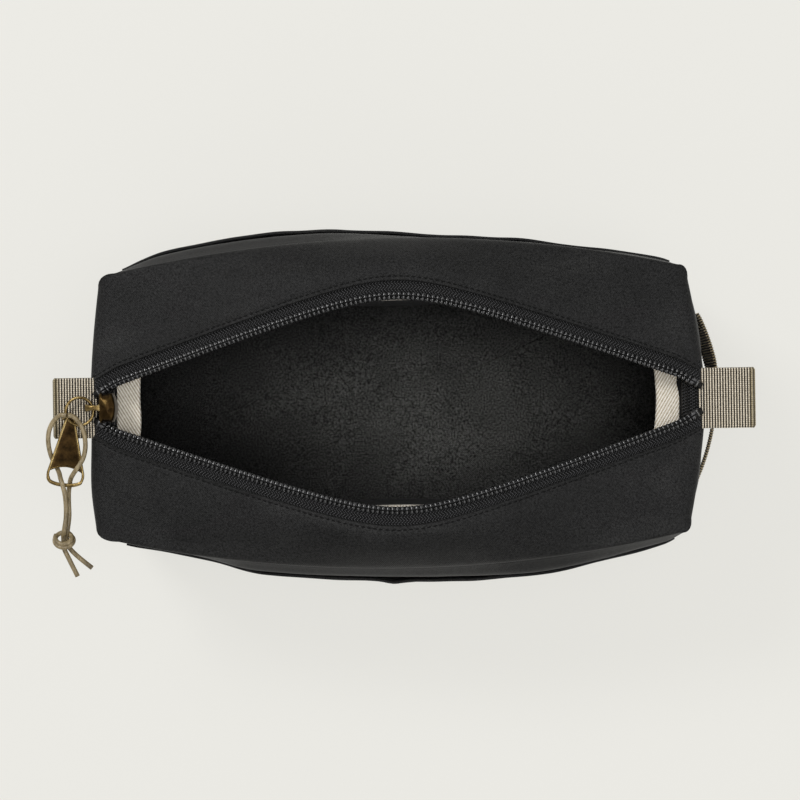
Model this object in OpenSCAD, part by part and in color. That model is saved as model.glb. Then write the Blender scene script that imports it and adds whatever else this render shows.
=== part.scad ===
// Shaving kit bag: a soft box with a zipped top, held open. +X is the length, +Y the back, +Z up.
// The origin is the middle of the base, on the surface that the bag stands on.

/* [Bag] */
// Length between the corners
bag_len = 250; // [220:1:290]
// How far each end bulges past its corners
end_bulge = 4.5; // [2:0.5:8]
// Width at the ends
end_w = 110; // [96:1:124]
// Width at the middle
mid_w = 139; // [126:1:156]
// Height of the top seams above the surface
seam_h = 110; // [92:1:132]
// Thickness of the waxed cloth
cloth_t = 1.5; // [1:0.1:2]

/* [Mouth] */
// Half the mouth's width, to the middle of the coil, at its widest
mouth_mid = 44.5; // [36:0.5:46]
// Half the mouth's width at the ends
mouth_end = 6.5; // [6:0.1:9]
// How sharply the mouth's sides turn at the middle
mouth_round = 0.2; // [0.1:0.05:0.4]
// How far the mouth's edge rises above the seams at the middle
mouth_rise = 16; // [8:1:24]

/* [Zipper] */
// Width of one row of coil
coil_w = 3.6; // [3:0.1:4.2]
// Height of the coil above its tape
coil_h = 2.2; // [1.6:0.1:2.6]
// Tape that shows between the coil and the cloth
tape_show = 4.6; // [3:0.1:6]
// Tape that is tucked under the cloth
tape_tuck = 4; // [2.5:0.1:6]
// Thickness of the tape
tape_t = 0.6; // [0.4:0.1:1]
// Length of the metal stop at each end of a coil
stop_len = 2.4; // [1.5:0.1:4]

/* [Slider] */
// Length of the slider's body
slider_len = 16; // [14:0.5:18]
// Width of the body across its shoulders
slider_w = 12.8; // [11:0.1:13]
// Thickness of the body over both plates
slider_t = 7; // [6:0.1:8]
// Thickness of each plate
plate_t = 1.6; // [1.2:0.1:2]
// Width of the bridge
bridge_w = 2.8; // [2:0.1:3.4]
// How far the bridge stands off the plate
bridge_h = 6; // [5:0.1:6.6]
// Travel along the zip
slider_travel = 238; // [180:1:238]

/* [Pull] */
// Diameter of the ring, to the middle of its wire
ring_d = 11.6; // [10:0.1:12.6]
// Diameter of the ring's wire
wire_d = 1.3; // [1:0.1:1.5]
// Length of the pull tab from its hole
tab_len = 31; // [26:0.5:36]
// Width of the pull tab at its foot
tab_w = 15.6; // [13:0.1:18]
// Thickness of the pull tab
tab_t = 1.1; // [0.9:0.1:1.4]
// Diameter of the tab's eye for the ring
tab_eye = 2.2; // [2:0.1:2.6]
// Diameter of the leather lace
lace_d = 2; // [1.6:0.1:2.2]
// Diameter of the knot
knot_d = 9; // [7:0.5:11]

/* [Webbing] */
// Width of the end tabs and of the handle
web_w = 25.4; // [20:0.1:30]
// Thickness of the webbing
web_t = 1.6; // [1.2:0.1:2]
// Gap inside an end tab's fold
fold_gap = 1; // [0.6:0.1:1.6]
// How far the left tab reaches past its seam
left_tab_len = 15.4; // [12:0.1:20]
// How far the right tab reaches past its seam
right_tab_len = 20.6; // [16:0.1:26]
// Length of the handle between its sewn ends
handle_span = 64; // [50:1:72]
// How far the handle stands off the end at its middle
handle_bow = 7.5; // [5:0.5:10]
// How far the handle's middle is towards the front
handle_front = 3.5; // [0:0.5:6]
// Height of the middle of the handle above the surface
handle_z = 70; // [50:1:80]
// Length of each sewn end of the handle
handle_foot = 8; // [6:0.5:10]

/* [Pockets] */
// Half the length of an outside pocket
pocket_half = 98; // [80:1:104]
// Height of an outside pocket's mouth
pocket_h = 86; // [60:1:100]
// How far the front pocket gapes
front_gape = 6; // [5:0.5:9]
// How far the back pocket gapes
back_gape = 5.4; // [5:0.5:9]
// Thickness of the pocket cloth
pocket_t = 1.2; // [0.8:0.1:1.6]
// Height of an inside pocket, without its binding
inner_h = 66; // [40:1:76]
// Distance of an inside pocket's middle from the centre line
inner_mid = 43; // [38:0.5:50]
// Half the length of an inside pocket
inner_half = 100; // [80:1:108]

/* [Bindings] */
// Width of the folded binding tape
bind_w = 10; // [8:0.5:12]
// Thickness of the binding over the seam's edge
bind_t = 1.6; // [1.2:0.1:2.2]

/* [Hidden] */

gap = 0.3;             // clearance between neighbouring soft pieces
side_steps = 24;       // stretches along a long side
end_steps = 12;        // stretches across an end
mouth_steps = 36;      // stretches along the mouth
arch_steps = 6;        // stretches across a top panel
corner_x = bag_len / 2;
half_len = corner_x + end_bulge;
end_y = end_w / 2 - cloth_t;              // inside of the corner
web_fold = 2 * web_t + fold_gap;          // thickness of a folded end tab
tab_axis_x = half_len + gap + web_fold / 2;
tab_axis_z = seam_h - 0.8 - web_fold / 2;
slider_x = -(half_len - cloth_t - 3);     // outer face of the slider's top plate
slider_z = seam_h - 7.4;                  // tail of the slider
bridge_x = slider_x - bridge_h;           // outside of the bridge
bridge_bar = 1.4;                         // thickness of the bridge's bar
arm_z = seam_h + 0.4;                     // underside of the bridge's lower arm
ring_z = seam_h + 2.8;
ring_reach = ring_d / 2 - wire_d / 2 - 0.35; // from the ring's centre to the bar's inner corners
ring_x = bridge_x + bridge_bar - sqrt(pow(ring_reach, 2) - pow(bridge_w / 2, 2));
pull_angle = 215;                         // where the tab hangs on the ring
eye_x = ring_x + ring_d / 2 * cos(pull_angle);
eye_y = ring_d / 2 * sin(pull_angle);
eye_wall = 1;
eye_w = 1.6;                              // width of the tab's eye along the ring's wire
tab_z = ring_z - tab_eye / 2 - eye_wall;  // underside of the pull tab
tab_turn = -2;                            // turn of the pull tab in plan
black = [0.09, 0.09, 0.09];
khaki = [0.62, 0.57, 0.47];
beige = [0.80, 0.75, 0.66];
brass = [0.42, 0.34, 0.18];

// The bag's outline: half its width at x, and how far its end lies at y.
function side_y(x) = end_w / 2 + (mid_w - end_w) / 2 * (1 - pow(x / corner_x, 2));
function end_x(y) = corner_x + end_bulge * (1 - pow(y / (end_w / 2), 2));

// The mouth's edge, at s from -1 at the left end to 1 at the right end.
function bow(s) = (sqrt(1 + mouth_round * mouth_round) - sqrt(s * s + mouth_round * mouth_round))
  / (sqrt(1 + mouth_round * mouth_round) - mouth_round);
function coil_y(s) = mouth_end + (mouth_mid - mouth_end) * bow(s);
function rise(s) = mouth_rise * pow(1 - s * s, 2);
function fold_y(s) = coil_y(s) + coil_w / 2 + tape_show;

// A point of a bent line from a to b, pulled towards c.
function bent(a, c, b, t) = (1 - t) * (1 - t) * a + 2 * t * (1 - t) * c + t * t * b;

// One cross-section of a top panel, from the seam to the folded edge, as [y, height over the seam].
function arch(s) =
  let (w = side_y(s * corner_x), f = fold_y(s), up = rise(s))
  concat([[w, 0]], [for (i = [0:arch_steps])
    bent([w - cloth_t, 0], [w - cloth_t - 0.35 * (w - cloth_t - f), up * 1.15], [f, up], i / arch_steps)]);

function steps(n, lo, hi) = [for (i = [0:n]) lo + (hi - lo) * i / n];

// A closed solid through equal rings of points, with its first and last ring as caps.
module rings(r) {
  n = len(r[0]);
  m = len(r);
  polyhedron(
    points = [for (ring = r) each ring],
    faces = concat(
      [[for (i = [0:n - 1]) n - 1 - i]],
      [for (k = [0:m - 2]) for (i = [0:n - 1]) each [
        [k * n + i, k * n + (i + 1) % n, (k + 1) * n + (i + 1) % n],
        [k * n + i, (k + 1) * n + (i + 1) % n, (k + 1) * n + i]]],
      [[for (i = [0:n - 1]) (m - 1) * n + i]]));
}

// A cloth band in plan from outer points to inner points, extruded between two heights.
module band(outer, inner, low, high) {
  translate([0, 0, low])
    linear_extrude(high - low)
      polygon(concat(outer, [for (i = [len(inner) - 1:-1:0]) inner[i]]));
}

module bottom_panel() {
  color(black)
    linear_extrude(cloth_t)
      polygon(concat(
        [for (x = steps(side_steps, -corner_x, corner_x)) [x, -side_y(x)]],
        [for (y = steps(end_steps, -end_w / 2, end_w / 2)) [end_x(y), y]],
        [for (x = steps(side_steps, corner_x, -corner_x)) [x, side_y(x)]],
        [for (y = steps(end_steps, end_w / 2, -end_w / 2)) [-end_x(y), y]]));
}

module back_panel() {
  xs = steps(side_steps, -corner_x, corner_x);
  color(black)
    band([for (x = xs) [x, side_y(x)]], [for (x = xs) [x, side_y(x) - cloth_t]], cloth_t, seam_h);
}

module front_panel() {
  mirror([0, 1, 0]) back_panel();
}

module right_end_panel() {
  ys = steps(end_steps, -end_y, end_y);
  color(black)
    band([for (y = ys) [end_x(y), y]], [for (y = ys) [end_x(y) - cloth_t, y]], cloth_t, seam_h);
}

module left_end_panel() {
  mirror([1, 0, 0]) right_end_panel();
}

// A top panel arches up from the long seam to its folded edge beside the zip.
module top_back_panel() {
  color(black)
    rings([for (s = steps(mouth_steps, -1, 1))
      let (a = arch(s))
      concat(
        [for (p = a) [s * end_x(min(abs(p[0]), end_w / 2)), p[0], seam_h + cloth_t + p[1]]],
        [for (i = [len(a) - 1:-1:0])
          [s * end_x(min(abs(a[i][0]), end_w / 2)), a[i][0], seam_h + a[i][1]]])]);
}

module top_front_panel() {
  mirror([0, 1, 0]) top_back_panel();
}

zip_end = (end_x(fold_y(1) + tape_tuck) - cloth_t - gap) / half_len;
function tape_top(s) = seam_h + rise(s) - gap;

module zipper_tape_back() {
  color(black)
    rings([for (s = steps(mouth_steps, -zip_end, zip_end))
      let (y0 = fold_y(s) + tape_tuck, y1 = coil_y(s) - coil_w / 2, x = s * half_len, z = tape_top(s))
      [[x, y0, z], [x, y1, z], [x, y1, z - tape_t], [x, y0, z - tape_t]]]);
}

module zipper_tape_front() {
  mirror([0, 1, 0]) zipper_tape_back();
}

coil_end = zip_end - (stop_len + gap) / half_len;

// The row of coil is a rounded bar on the tape's edge, between the end stops.
module coil_bar(s_from, s_to, n, w, h) {
  rings([for (s = steps(n, s_from, s_to))
    let (x = s * half_len, yc = coil_y(s))
    [for (p = [[w / 2, 0], [w / 2, h * 0.6], [w * 0.3, h], [-w * 0.3, h], [-w / 2, h * 0.6], [-w / 2, 0]])
      [x, yc + p[0], tape_top(s) + 0.1 + p[1]]]]);
}

module zipper_coil_back() {
  color([0.16, 0.16, 0.17]) coil_bar(-coil_end, coil_end, mouth_steps, coil_w, coil_h);
}

module zipper_coil_front() {
  mirror([0, 1, 0]) zipper_coil_back();
}

module zipper_stops() {
  color(brass)
    for (front = [0, 1])
      mirror([0, front, 0])
        for (left = [0, 1])
          mirror([left, 0, 0])
            coil_bar(coil_end + gap / half_len, coil_end + (gap + stop_len) / half_len, 1, coil_w, coil_h);
}

// Outline of a slider plate from its tail up to its nose, as [width, height].
function plate_outline() = let (w = slider_w / 2, l = slider_len)
  [[-w * 0.72, 0], [w * 0.72, 0], [w * 0.76, l * 0.45], [w * 0.98, l * 0.7], [w * 0.9, l * 0.94],
    [w * 0.45, l], [0, l * 0.93], [-w * 0.45, l], [-w * 0.9, l * 0.94], [-w * 0.98, l * 0.7],
    [-w * 0.76, l * 0.45]];

// Places a flat outline in the plane across the bag's length, with its thickness along +X.
module stand(x, t) {
  translate([x, 0, slider_z])
    rotate([90, 0, 90])
      linear_extrude(t)
        children();
}

module slider_body() {
  rail_in = slider_w / 2 * 0.72 - 1.1;
  color(brass)
    union() {
      stand(slider_x, plate_t) polygon(plate_outline());
      stand(slider_x + slider_t - plate_t, plate_t) polygon(plate_outline());
      stand(slider_x, slider_t)
        polygon([[-1.6, slider_len * 0.72], [0, slider_len * 0.5], [1.6, slider_len * 0.72], [0, slider_len * 0.92]]);
      for (side = [-1, 1])
        for (x = [slider_x, slider_x + slider_t - plate_t - 1])
          translate([x, side > 0 ? rail_in : -rail_in - 1.1, slider_z])
            cube([plate_t + 1, 1.1, slider_len * 0.45]);
    }
}

module slider_bridge() {
  high = slider_z + slider_len - 1;
  arm = 1;             // thickness of the bridge's arms
  color(brass)
    translate([0, bridge_w / 2, 0])
      rotate([90, 0, 0])
        linear_extrude(bridge_w)
          polygon([[slider_x, arm_z], [bridge_x + 1, arm_z], [bridge_x, arm_z + 1], [bridge_x, high - 1],
            [bridge_x + 1, high], [slider_x, high], [slider_x, high - arm],
            [bridge_x + bridge_bar, high - arm], [bridge_x + bridge_bar, arm_z + arm],
            [slider_x, arm_z + arm]]);
}

module pull_ring() {
  color(brass)
    translate([ring_x, 0, ring_z])
      rotate_extrude($fn = 64)
        translate([ring_d / 2, 0])
          circle(d = wire_d, $fn = 24);
}

// The pull tab: a plate that widens to a foot with an eyelet for the lace, and an upright eye for the ring.
module pull_tab() {
  head = 4.6;
  foot_y = -tab_len + tab_w * 0.42;
  slot_y = foot_y - 1.2;
  color(brass)
    difference() {
      union() {
        translate([eye_x, eye_y, tab_z])
          rotate([0, 0, tab_turn])
            difference() {
              union() {
                linear_extrude(tab_t)
                  polygon([[-head / 2, 0], [-tab_w / 2, foot_y + 1], [-tab_w / 2 + 0.2, foot_y - 2],
                    [-tab_w * 0.32, -tab_len + 1.2], [-tab_w * 0.14, -tab_len], [tab_w * 0.14, -tab_len],
                    [tab_w * 0.32, -tab_len + 1.2], [tab_w / 2 - 0.2, foot_y - 2], [tab_w / 2, foot_y + 1],
                    [head / 2, 0]]);
                cylinder(d = head, h = tab_t, $fn = 48);
              }
              for (side = [-1, 1])
                translate([side * tab_w * 0.17, slot_y, -1])
                  cylinder(d = tab_w * 0.4, h = tab_t + 2, $fn = 48);
              translate([-tab_w * 0.17, slot_y - tab_w * 0.2, -1])
                cube([tab_w * 0.34, tab_w * 0.4, tab_t + 2]);
            }
        translate([eye_x, eye_y, ring_z])
          rotate([0, 0, pull_angle])
            rotate([90, 0, 0])
              cylinder(d = tab_eye + 2 * eye_wall, h = eye_w, center = true, $fn = 48);
      }
      translate([eye_x, eye_y, ring_z])
        rotate([0, 0, pull_angle])
          rotate([90, 0, 0])
            cylinder(d = tab_eye, h = eye_w + 4, center = true, $fn = 48);
    }
}

// The lace's two strands: over the tab's neck, round its sides, under its foot, up through its eyelet,
// and on through the knot. Heights are above the top seams.
left_route = [[-138.9, -9, 3.3], [-142.5, -9.3, 3.1], [-146.2, -11.5, 2.8], [-148.6, -15.5, 2.3],
  [-149.4, -20, 1], [-148.8, -24, -0.4], [-146, -27.2, -0.8], [-142.8, -28.7, -0.7], [-141.4, -29.6, 1.2],
  [-141.1, -31.2, 3.2], [-140.6, -34, 3.4], [-140.3, -38, 3], [-140.1, -44, 2.6], [-140.1, -50, 2.8],
  [-140.2, -56, 2.6], [-139.6, -60, 1.8], [-137.4, -65.4, 0.8], [-135.2, -70.6, -0.4]];
right_route = [[-138.5, -9, 3.3], [-134.9, -9.3, 3.1], [-132, -11.4, 2.8], [-130.7, -15.5, 2.4],
  [-130.4, -20, 1.4], [-130.6, -24, -0.3], [-133.2, -27.2, -0.8], [-136.6, -28.7, -0.7], [-137.9, -29.6, 1.2],
  [-138.2, -31.2, 3.2], [-138.1, -34, 3.4], [-137.9, -38, 3], [-137.7, -44, 2.6], [-137.6, -50, 2.8],
  [-137.4, -56, 2.6], [-135.6, -60, 1.8], [-132.2, -64, 0.6], [-128.8, -67.2, -1]];
knot_at = [-138.8, -54.4, seam_h + 2.8];

// A tube of eight sides along a route of points.
module tube(route, d) {
  n = len(route);
  translate([0, 0, seam_h])
    rings([for (i = [0:n - 1])
      let (
        t = route[min(i + 1, n - 1)] - route[max(i - 1, 0)],
        d1 = cross(t, [0, 0, 1]) / norm(cross(t, [0, 0, 1])),
        d2 = cross(d1, t) / norm(t))
      [for (a = [315:-45:0]) route[i] + d / 2 * (cos(a) * d1 + sin(a) * d2)]]);
}

// Points between those of a route, so that its bends are round.
function spline_point(p, i, t) =
  let (n = len(p) - 1, a = p[max(i - 1, 0)], b = p[i], c = p[i + 1], e = p[min(i + 2, n)])
  0.5 * ((2 * b) + (c - a) * t + (2 * a - 5 * b + 4 * c - e) * t * t + (3 * b - a - 3 * c + e) * t * t * t);
function smooth(p) = concat([for (i = [0:len(p) - 2]) for (k = [0, 0.5]) spline_point(p, i, k)], [p[len(p) - 1]]);

module lace_left() {
  color([0.45, 0.42, 0.30]) tube(smooth(left_route), lace_d);
}

module lace_right() {
  color([0.45, 0.42, 0.30]) tube(smooth(right_route), lace_d);
}

module lace_knot() {
  color([0.45, 0.42, 0.30])
    translate(knot_at)
      rotate([90, 0, 0])
        rotate_extrude($fn = 40)
          polygon([[0, -knot_d * 0.42], [knot_d * 0.34, -knot_d * 0.42], [knot_d * 0.5, -knot_d * 0.2],
            [knot_d * 0.5, knot_d * 0.2], [knot_d * 0.34, knot_d * 0.42], [0, knot_d * 0.42]]);
}

// An end tab is a folded loop of webbing, round at its seam and at its fold.
module web_tab(length) {
  far = tab_axis_x + length - web_fold;
  color(khaki)
    translate([0, web_w / 2, 0])
      rotate([90, 0, 0])
        difference() {
          union() {
            translate([tab_axis_x, tab_axis_z, 0]) cylinder(d = web_fold, h = web_w, $fn = 48);
            translate([far, tab_axis_z, 0]) cylinder(d = web_fold, h = web_w, $fn = 48);
            translate([tab_axis_x, tab_axis_z - web_fold / 2, 0])
              cube([far - tab_axis_x, web_fold, web_w]);
          }
          translate([tab_axis_x + 2, tab_axis_z - fold_gap / 2, -1])
            cube([far - tab_axis_x - 2, fold_gap, web_w + 2]);
          translate([far, tab_axis_z, -1]) cylinder(d = fold_gap, h = web_w + 2, $fn = 32);
        }
}

module right_web_tab() {
  web_tab(right_tab_len);
}

module left_web_tab() {
  mirror([1, 0, 0]) web_tab(left_tab_len);
}

handle_y = -handle_front;
function handle_x(y) = end_x(y) + gap + handle_bow * (1 - pow((y - handle_y) / (handle_span / 2), 2));

// The free part of the carry handle, a strap on edge that bows off the right end.
module handle_strap() {
  ys = steps(20, handle_y - handle_span / 2 + gap, handle_y + handle_span / 2 - gap);
  color(khaki)
    band([for (y = ys) [handle_x(y) + web_t, y]], [for (y = ys) [handle_x(y), y]],
      handle_z - web_w / 2, handle_z + web_w / 2);
}

// The sewn ends of the handle, flat against the end panel.
module handle_feet() {
  color(khaki)
    for (side = [-1, 1]) {
      near = handle_y + side * handle_span / 2;
      ys = steps(4, min(near, near + side * handle_foot), max(near, near + side * handle_foot));
      band([for (y = ys) [end_x(y) + gap + web_t, y]], [for (y = ys) [end_x(y), y]],
        handle_z - web_w / 2, handle_z + web_w / 2);
    }
}

// An outside pocket follows the panel at its sides and gapes at its middle.
function gape_y(x, gape) = side_y(x) + gape * pow(max(0, 1 - pow(x / pocket_half, 2)), 0.8);

module pocket(gape) {
  xs = steps(side_steps, -pocket_half, pocket_half);
  foot = cloth_t;
  color(black)
    union() {
      band([for (x = xs) [x, gape_y(x, gape) + pocket_t]], [for (x = xs) [x, gape_y(x, gape)]],
        foot, pocket_h);
      band([for (x = xs) [x, gape_y(x, gape) + pocket_t]], [for (x = xs) [x, side_y(x)]],
        foot, foot + pocket_t);
    }
}

module back_pocket() {
  pocket(back_gape);
}

module front_pocket() {
  mirror([0, 1, 0]) pocket(front_gape);
}

// An inside pocket hangs slack, away from the panel at its middle.
function slack_y(x) = let (far = side_y(inner_half) - cloth_t - gap - 2 * bind_t - 0.6)
  far + (inner_mid - far) * (1 - pow(x / inner_half, 2));

module inner_band(t, low, high) {
  xs = steps(side_steps, -inner_half, inner_half);
  band([for (x = xs) [x, slack_y(x) + t]], [for (x = xs) [x, slack_y(x)]], low, high);
}

module inner_pocket_back() {
  color(black) inner_band(pocket_t, cloth_t, cloth_t + inner_h);
}

module inner_pocket_front() {
  mirror([0, 1, 0]) inner_pocket_back();
}

module inner_binding_back() {
  color(beige) inner_band(bind_t, cloth_t + inner_h, cloth_t + inner_h + bind_w);
}

module inner_binding_front() {
  mirror([0, 1, 0]) inner_binding_back();
}

// The bound edge of an end's top seam turns in and down inside the bag.
end_bind_z = seam_h - 12;
end_bind_in = 8;       // distance of the binding from the end panel

// A flat strip that follows the end panel, from one distance inside it to another.
module end_strip(near, far, low, high) {
  ys = steps(8, -24, 24);
  band([for (y = ys) [end_x(y) - cloth_t - near, y]], [for (y = ys) [end_x(y) - cloth_t - far, y]],
    low, high);
}

module right_seam_binding() {
  color(beige) {
    end_strip(0.1, end_bind_in + 2, end_bind_z - cloth_t, end_bind_z);
    end_strip(end_bind_in, end_bind_in + bind_w, end_bind_z - bind_t - cloth_t, end_bind_z - cloth_t);
  }
}

module left_seam_binding() {
  mirror([1, 0, 0]) right_seam_binding();
}

// Bound seam allowances that stand up from the base, inside, along the long sides and the ends.
module base_seam_bindings() {
  clear = 0.1;         // distance of the bindings from the panels
  xs = steps(side_steps, -corner_x + 14, corner_x - 14);
  ys = steps(end_steps, -end_y + 14, end_y - 14);
  color(beige)
    for (turn = [0, 1]) {
      mirror([0, turn, 0])
        band([for (x = xs) [x, side_y(x) - cloth_t - clear]],
          [for (x = xs) [x, side_y(x) - cloth_t - clear - bind_t]], cloth_t, cloth_t + bind_w);
      mirror([turn, 0, 0])
        band([for (y = ys) [end_x(y) - cloth_t - clear, y]],
          [for (y = ys) [end_x(y) - cloth_t - clear - bind_t, y]], cloth_t, cloth_t + bind_w);
    }
}

// Bound seam allowances that stand in the four corners.
module corner_seam_bindings() {
  low = cloth_t + gap;
  high = end_bind_z - 14;
  color(beige)
    for (front = [0, 1])
      mirror([0, front, 0])
        for (left = [0, 1])
          mirror([left, 0, 0])
            translate([corner_x - cloth_t - gap, end_y - gap, low])
              rotate([0, 0, 225])
                translate([0, -bind_t / 2, 0])
                  translate([bind_t, 0, 0])
                    cube([bind_w, bind_t, high - low]);
}

bottom_panel();
front_panel();
back_panel();
left_end_panel();
right_end_panel();
top_front_panel();
top_back_panel();
zipper_tape_front();
zipper_tape_back();
zipper_coil_front();
zipper_coil_back();
zipper_stops();
slider_body();
slider_bridge();
pull_ring();
pull_tab();
lace_left();
lace_right();
lace_knot();
left_web_tab();
right_web_tab();
handle_strap();
handle_feet();
front_pocket();
back_pocket();
inner_pocket_front();
inner_pocket_back();
inner_binding_front();
inner_binding_back();
left_seam_binding();
right_seam_binding();
base_seam_bindings();
corner_seam_bindings();
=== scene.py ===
import math

import bmesh
import bpy
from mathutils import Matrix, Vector, noise


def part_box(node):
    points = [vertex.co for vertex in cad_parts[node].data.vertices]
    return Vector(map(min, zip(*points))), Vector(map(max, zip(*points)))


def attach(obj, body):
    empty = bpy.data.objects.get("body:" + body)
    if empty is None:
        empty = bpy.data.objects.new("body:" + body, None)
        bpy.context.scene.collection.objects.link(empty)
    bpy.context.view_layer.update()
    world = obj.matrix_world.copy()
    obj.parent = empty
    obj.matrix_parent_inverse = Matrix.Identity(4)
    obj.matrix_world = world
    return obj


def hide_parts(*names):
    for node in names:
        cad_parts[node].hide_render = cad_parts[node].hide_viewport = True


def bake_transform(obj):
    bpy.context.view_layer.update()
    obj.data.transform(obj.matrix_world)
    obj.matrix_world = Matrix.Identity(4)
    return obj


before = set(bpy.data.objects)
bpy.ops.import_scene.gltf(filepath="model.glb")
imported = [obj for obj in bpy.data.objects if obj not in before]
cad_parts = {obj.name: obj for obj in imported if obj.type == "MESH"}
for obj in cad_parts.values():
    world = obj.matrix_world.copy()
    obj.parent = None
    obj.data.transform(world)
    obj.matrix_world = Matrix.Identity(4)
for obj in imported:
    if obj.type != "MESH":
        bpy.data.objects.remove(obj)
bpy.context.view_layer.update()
mm = 0.001
scene = bpy.context.scene
scene.view_settings.view_transform = "Standard"


def boxSide(node, corner, axis):
    # Reads one number of a node's box, in millimetres.
    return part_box(node)[corner][axis] / mm


# Main sizes come from the frame, in millimetres
bag = {
    "cornerX": boxSide("back_panel", 1, 0),
    "endX": boxSide("right_end_panel", 1, 0),
    "cornerY": boxSide("right_end_panel", 1, 1) + 1.5,
    "midY": boxSide("back_panel", 1, 1),
    "seamZ": boxSide("back_panel", 1, 2),
    "cornerRound": 6.0,
    "footRound": 5.0,
    "cloth": 0.9,
    "sideStep": 1.7,
    "seed": 3.7,
}
mouth = {
    "middle": boxSide("zipper_coil_back", 1, 1) - 1.8,
    "end": 6.5,
    "sharpness": 0.2,
    "coilWidth": 3.6,
    "tapeShow": 4.6,
    "rise": 16.0,
}


def sideY(x):
    return bag["cornerY"] + (bag["midY"] - bag["cornerY"]) * (1 - (x / bag["cornerX"]) ** 2)


def endReach(y, turn=-1):
    # How far an end reaches; the right end has slumped in at its corners.
    share = min(abs(y), bag["cornerY"]) / bag["cornerY"]
    if turn > 0:
        return bag["endX"] - 7.6 * share ** 1.6
    return bag["endX"] - (bag["endX"] - bag["cornerX"]) * share ** 2 + 2.4 * smoothStep(-6, -40, y)


def bow(s):
    r = mouth["sharpness"]
    k = math.sqrt(1 + r * r)
    return (k - math.sqrt(s * s + r * r)) / (k - r)


def coilY(s):
    return mouth["end"] + (mouth["middle"] - mouth["end"]) * bow(s) - 2.1 * smoothStep(0.9, 1.0, abs(s))


def foldY(s):
    return coilY(s) + mouth["coilWidth"] / 2 + mouth["tapeShow"]


def rise(s):
    return mouth["rise"] * (1 - min(1.0, s * s)) ** 2


def ripple(x, y, z, size, seed=0.0):
    # Smooth noise from -1 to 1 whose bumps are about size millimetres wide.
    return noise.noise(Vector((x / size, y / size, z / size + seed + bag["seed"])))


def smoothStep(a, b, x):
    t = max(0.0, min(1.0, (x - a) / (b - a)))
    return t * t * (3 - 2 * t)


# Materials


def hexColour(text):
    part = [int(text[i:i + 2], 16) / 255 for i in (0, 2, 4)]
    return [c / 12.92 if c <= 0.04045 else ((c + 0.055) / 1.055) ** 2.4 for c in part] + [1.0]


def addNode(tree, kind, settings=None, links=None, stops=()):
    # Adds a node. Its links are other nodes' outputs, or plain numbers and colours for its sockets.
    node = tree.nodes.new(kind)
    for key, value in {**(settings or {}), **(links or {})}.items():
        if isinstance(key, str) and hasattr(node, key):
            setattr(node, key, value)
        elif isinstance(value, bpy.types.NodeSocket):
            tree.links.new(value, node.inputs[key])
        else:
            node.inputs[key].default_value = value
    for i, (place, colour) in enumerate(stops):
        element = node.color_ramp.elements[i] if i < 2 else node.color_ramp.elements.new(place)
        element.position = place
        element.color = hexColour(colour) if isinstance(colour, str) else (colour, colour, colour, 1)
    return node


def newMaterial(name, **surface):
    material = bpy.data.materials.new(name)
    material.use_nodes = True
    tree = material.node_tree
    shader = tree.nodes["Principled BSDF"]
    for key, value in surface.items():
        shader.inputs[key.replace("_", " ")].default_value = value
    return material, tree, shader


threads = {"canvas": 1.0, "tape": 1.3, "tapeRow": 0.72, "chevron": 1.45, "rib": 1.15, "ribRow": 0.8, "twill": 1.3}


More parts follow.
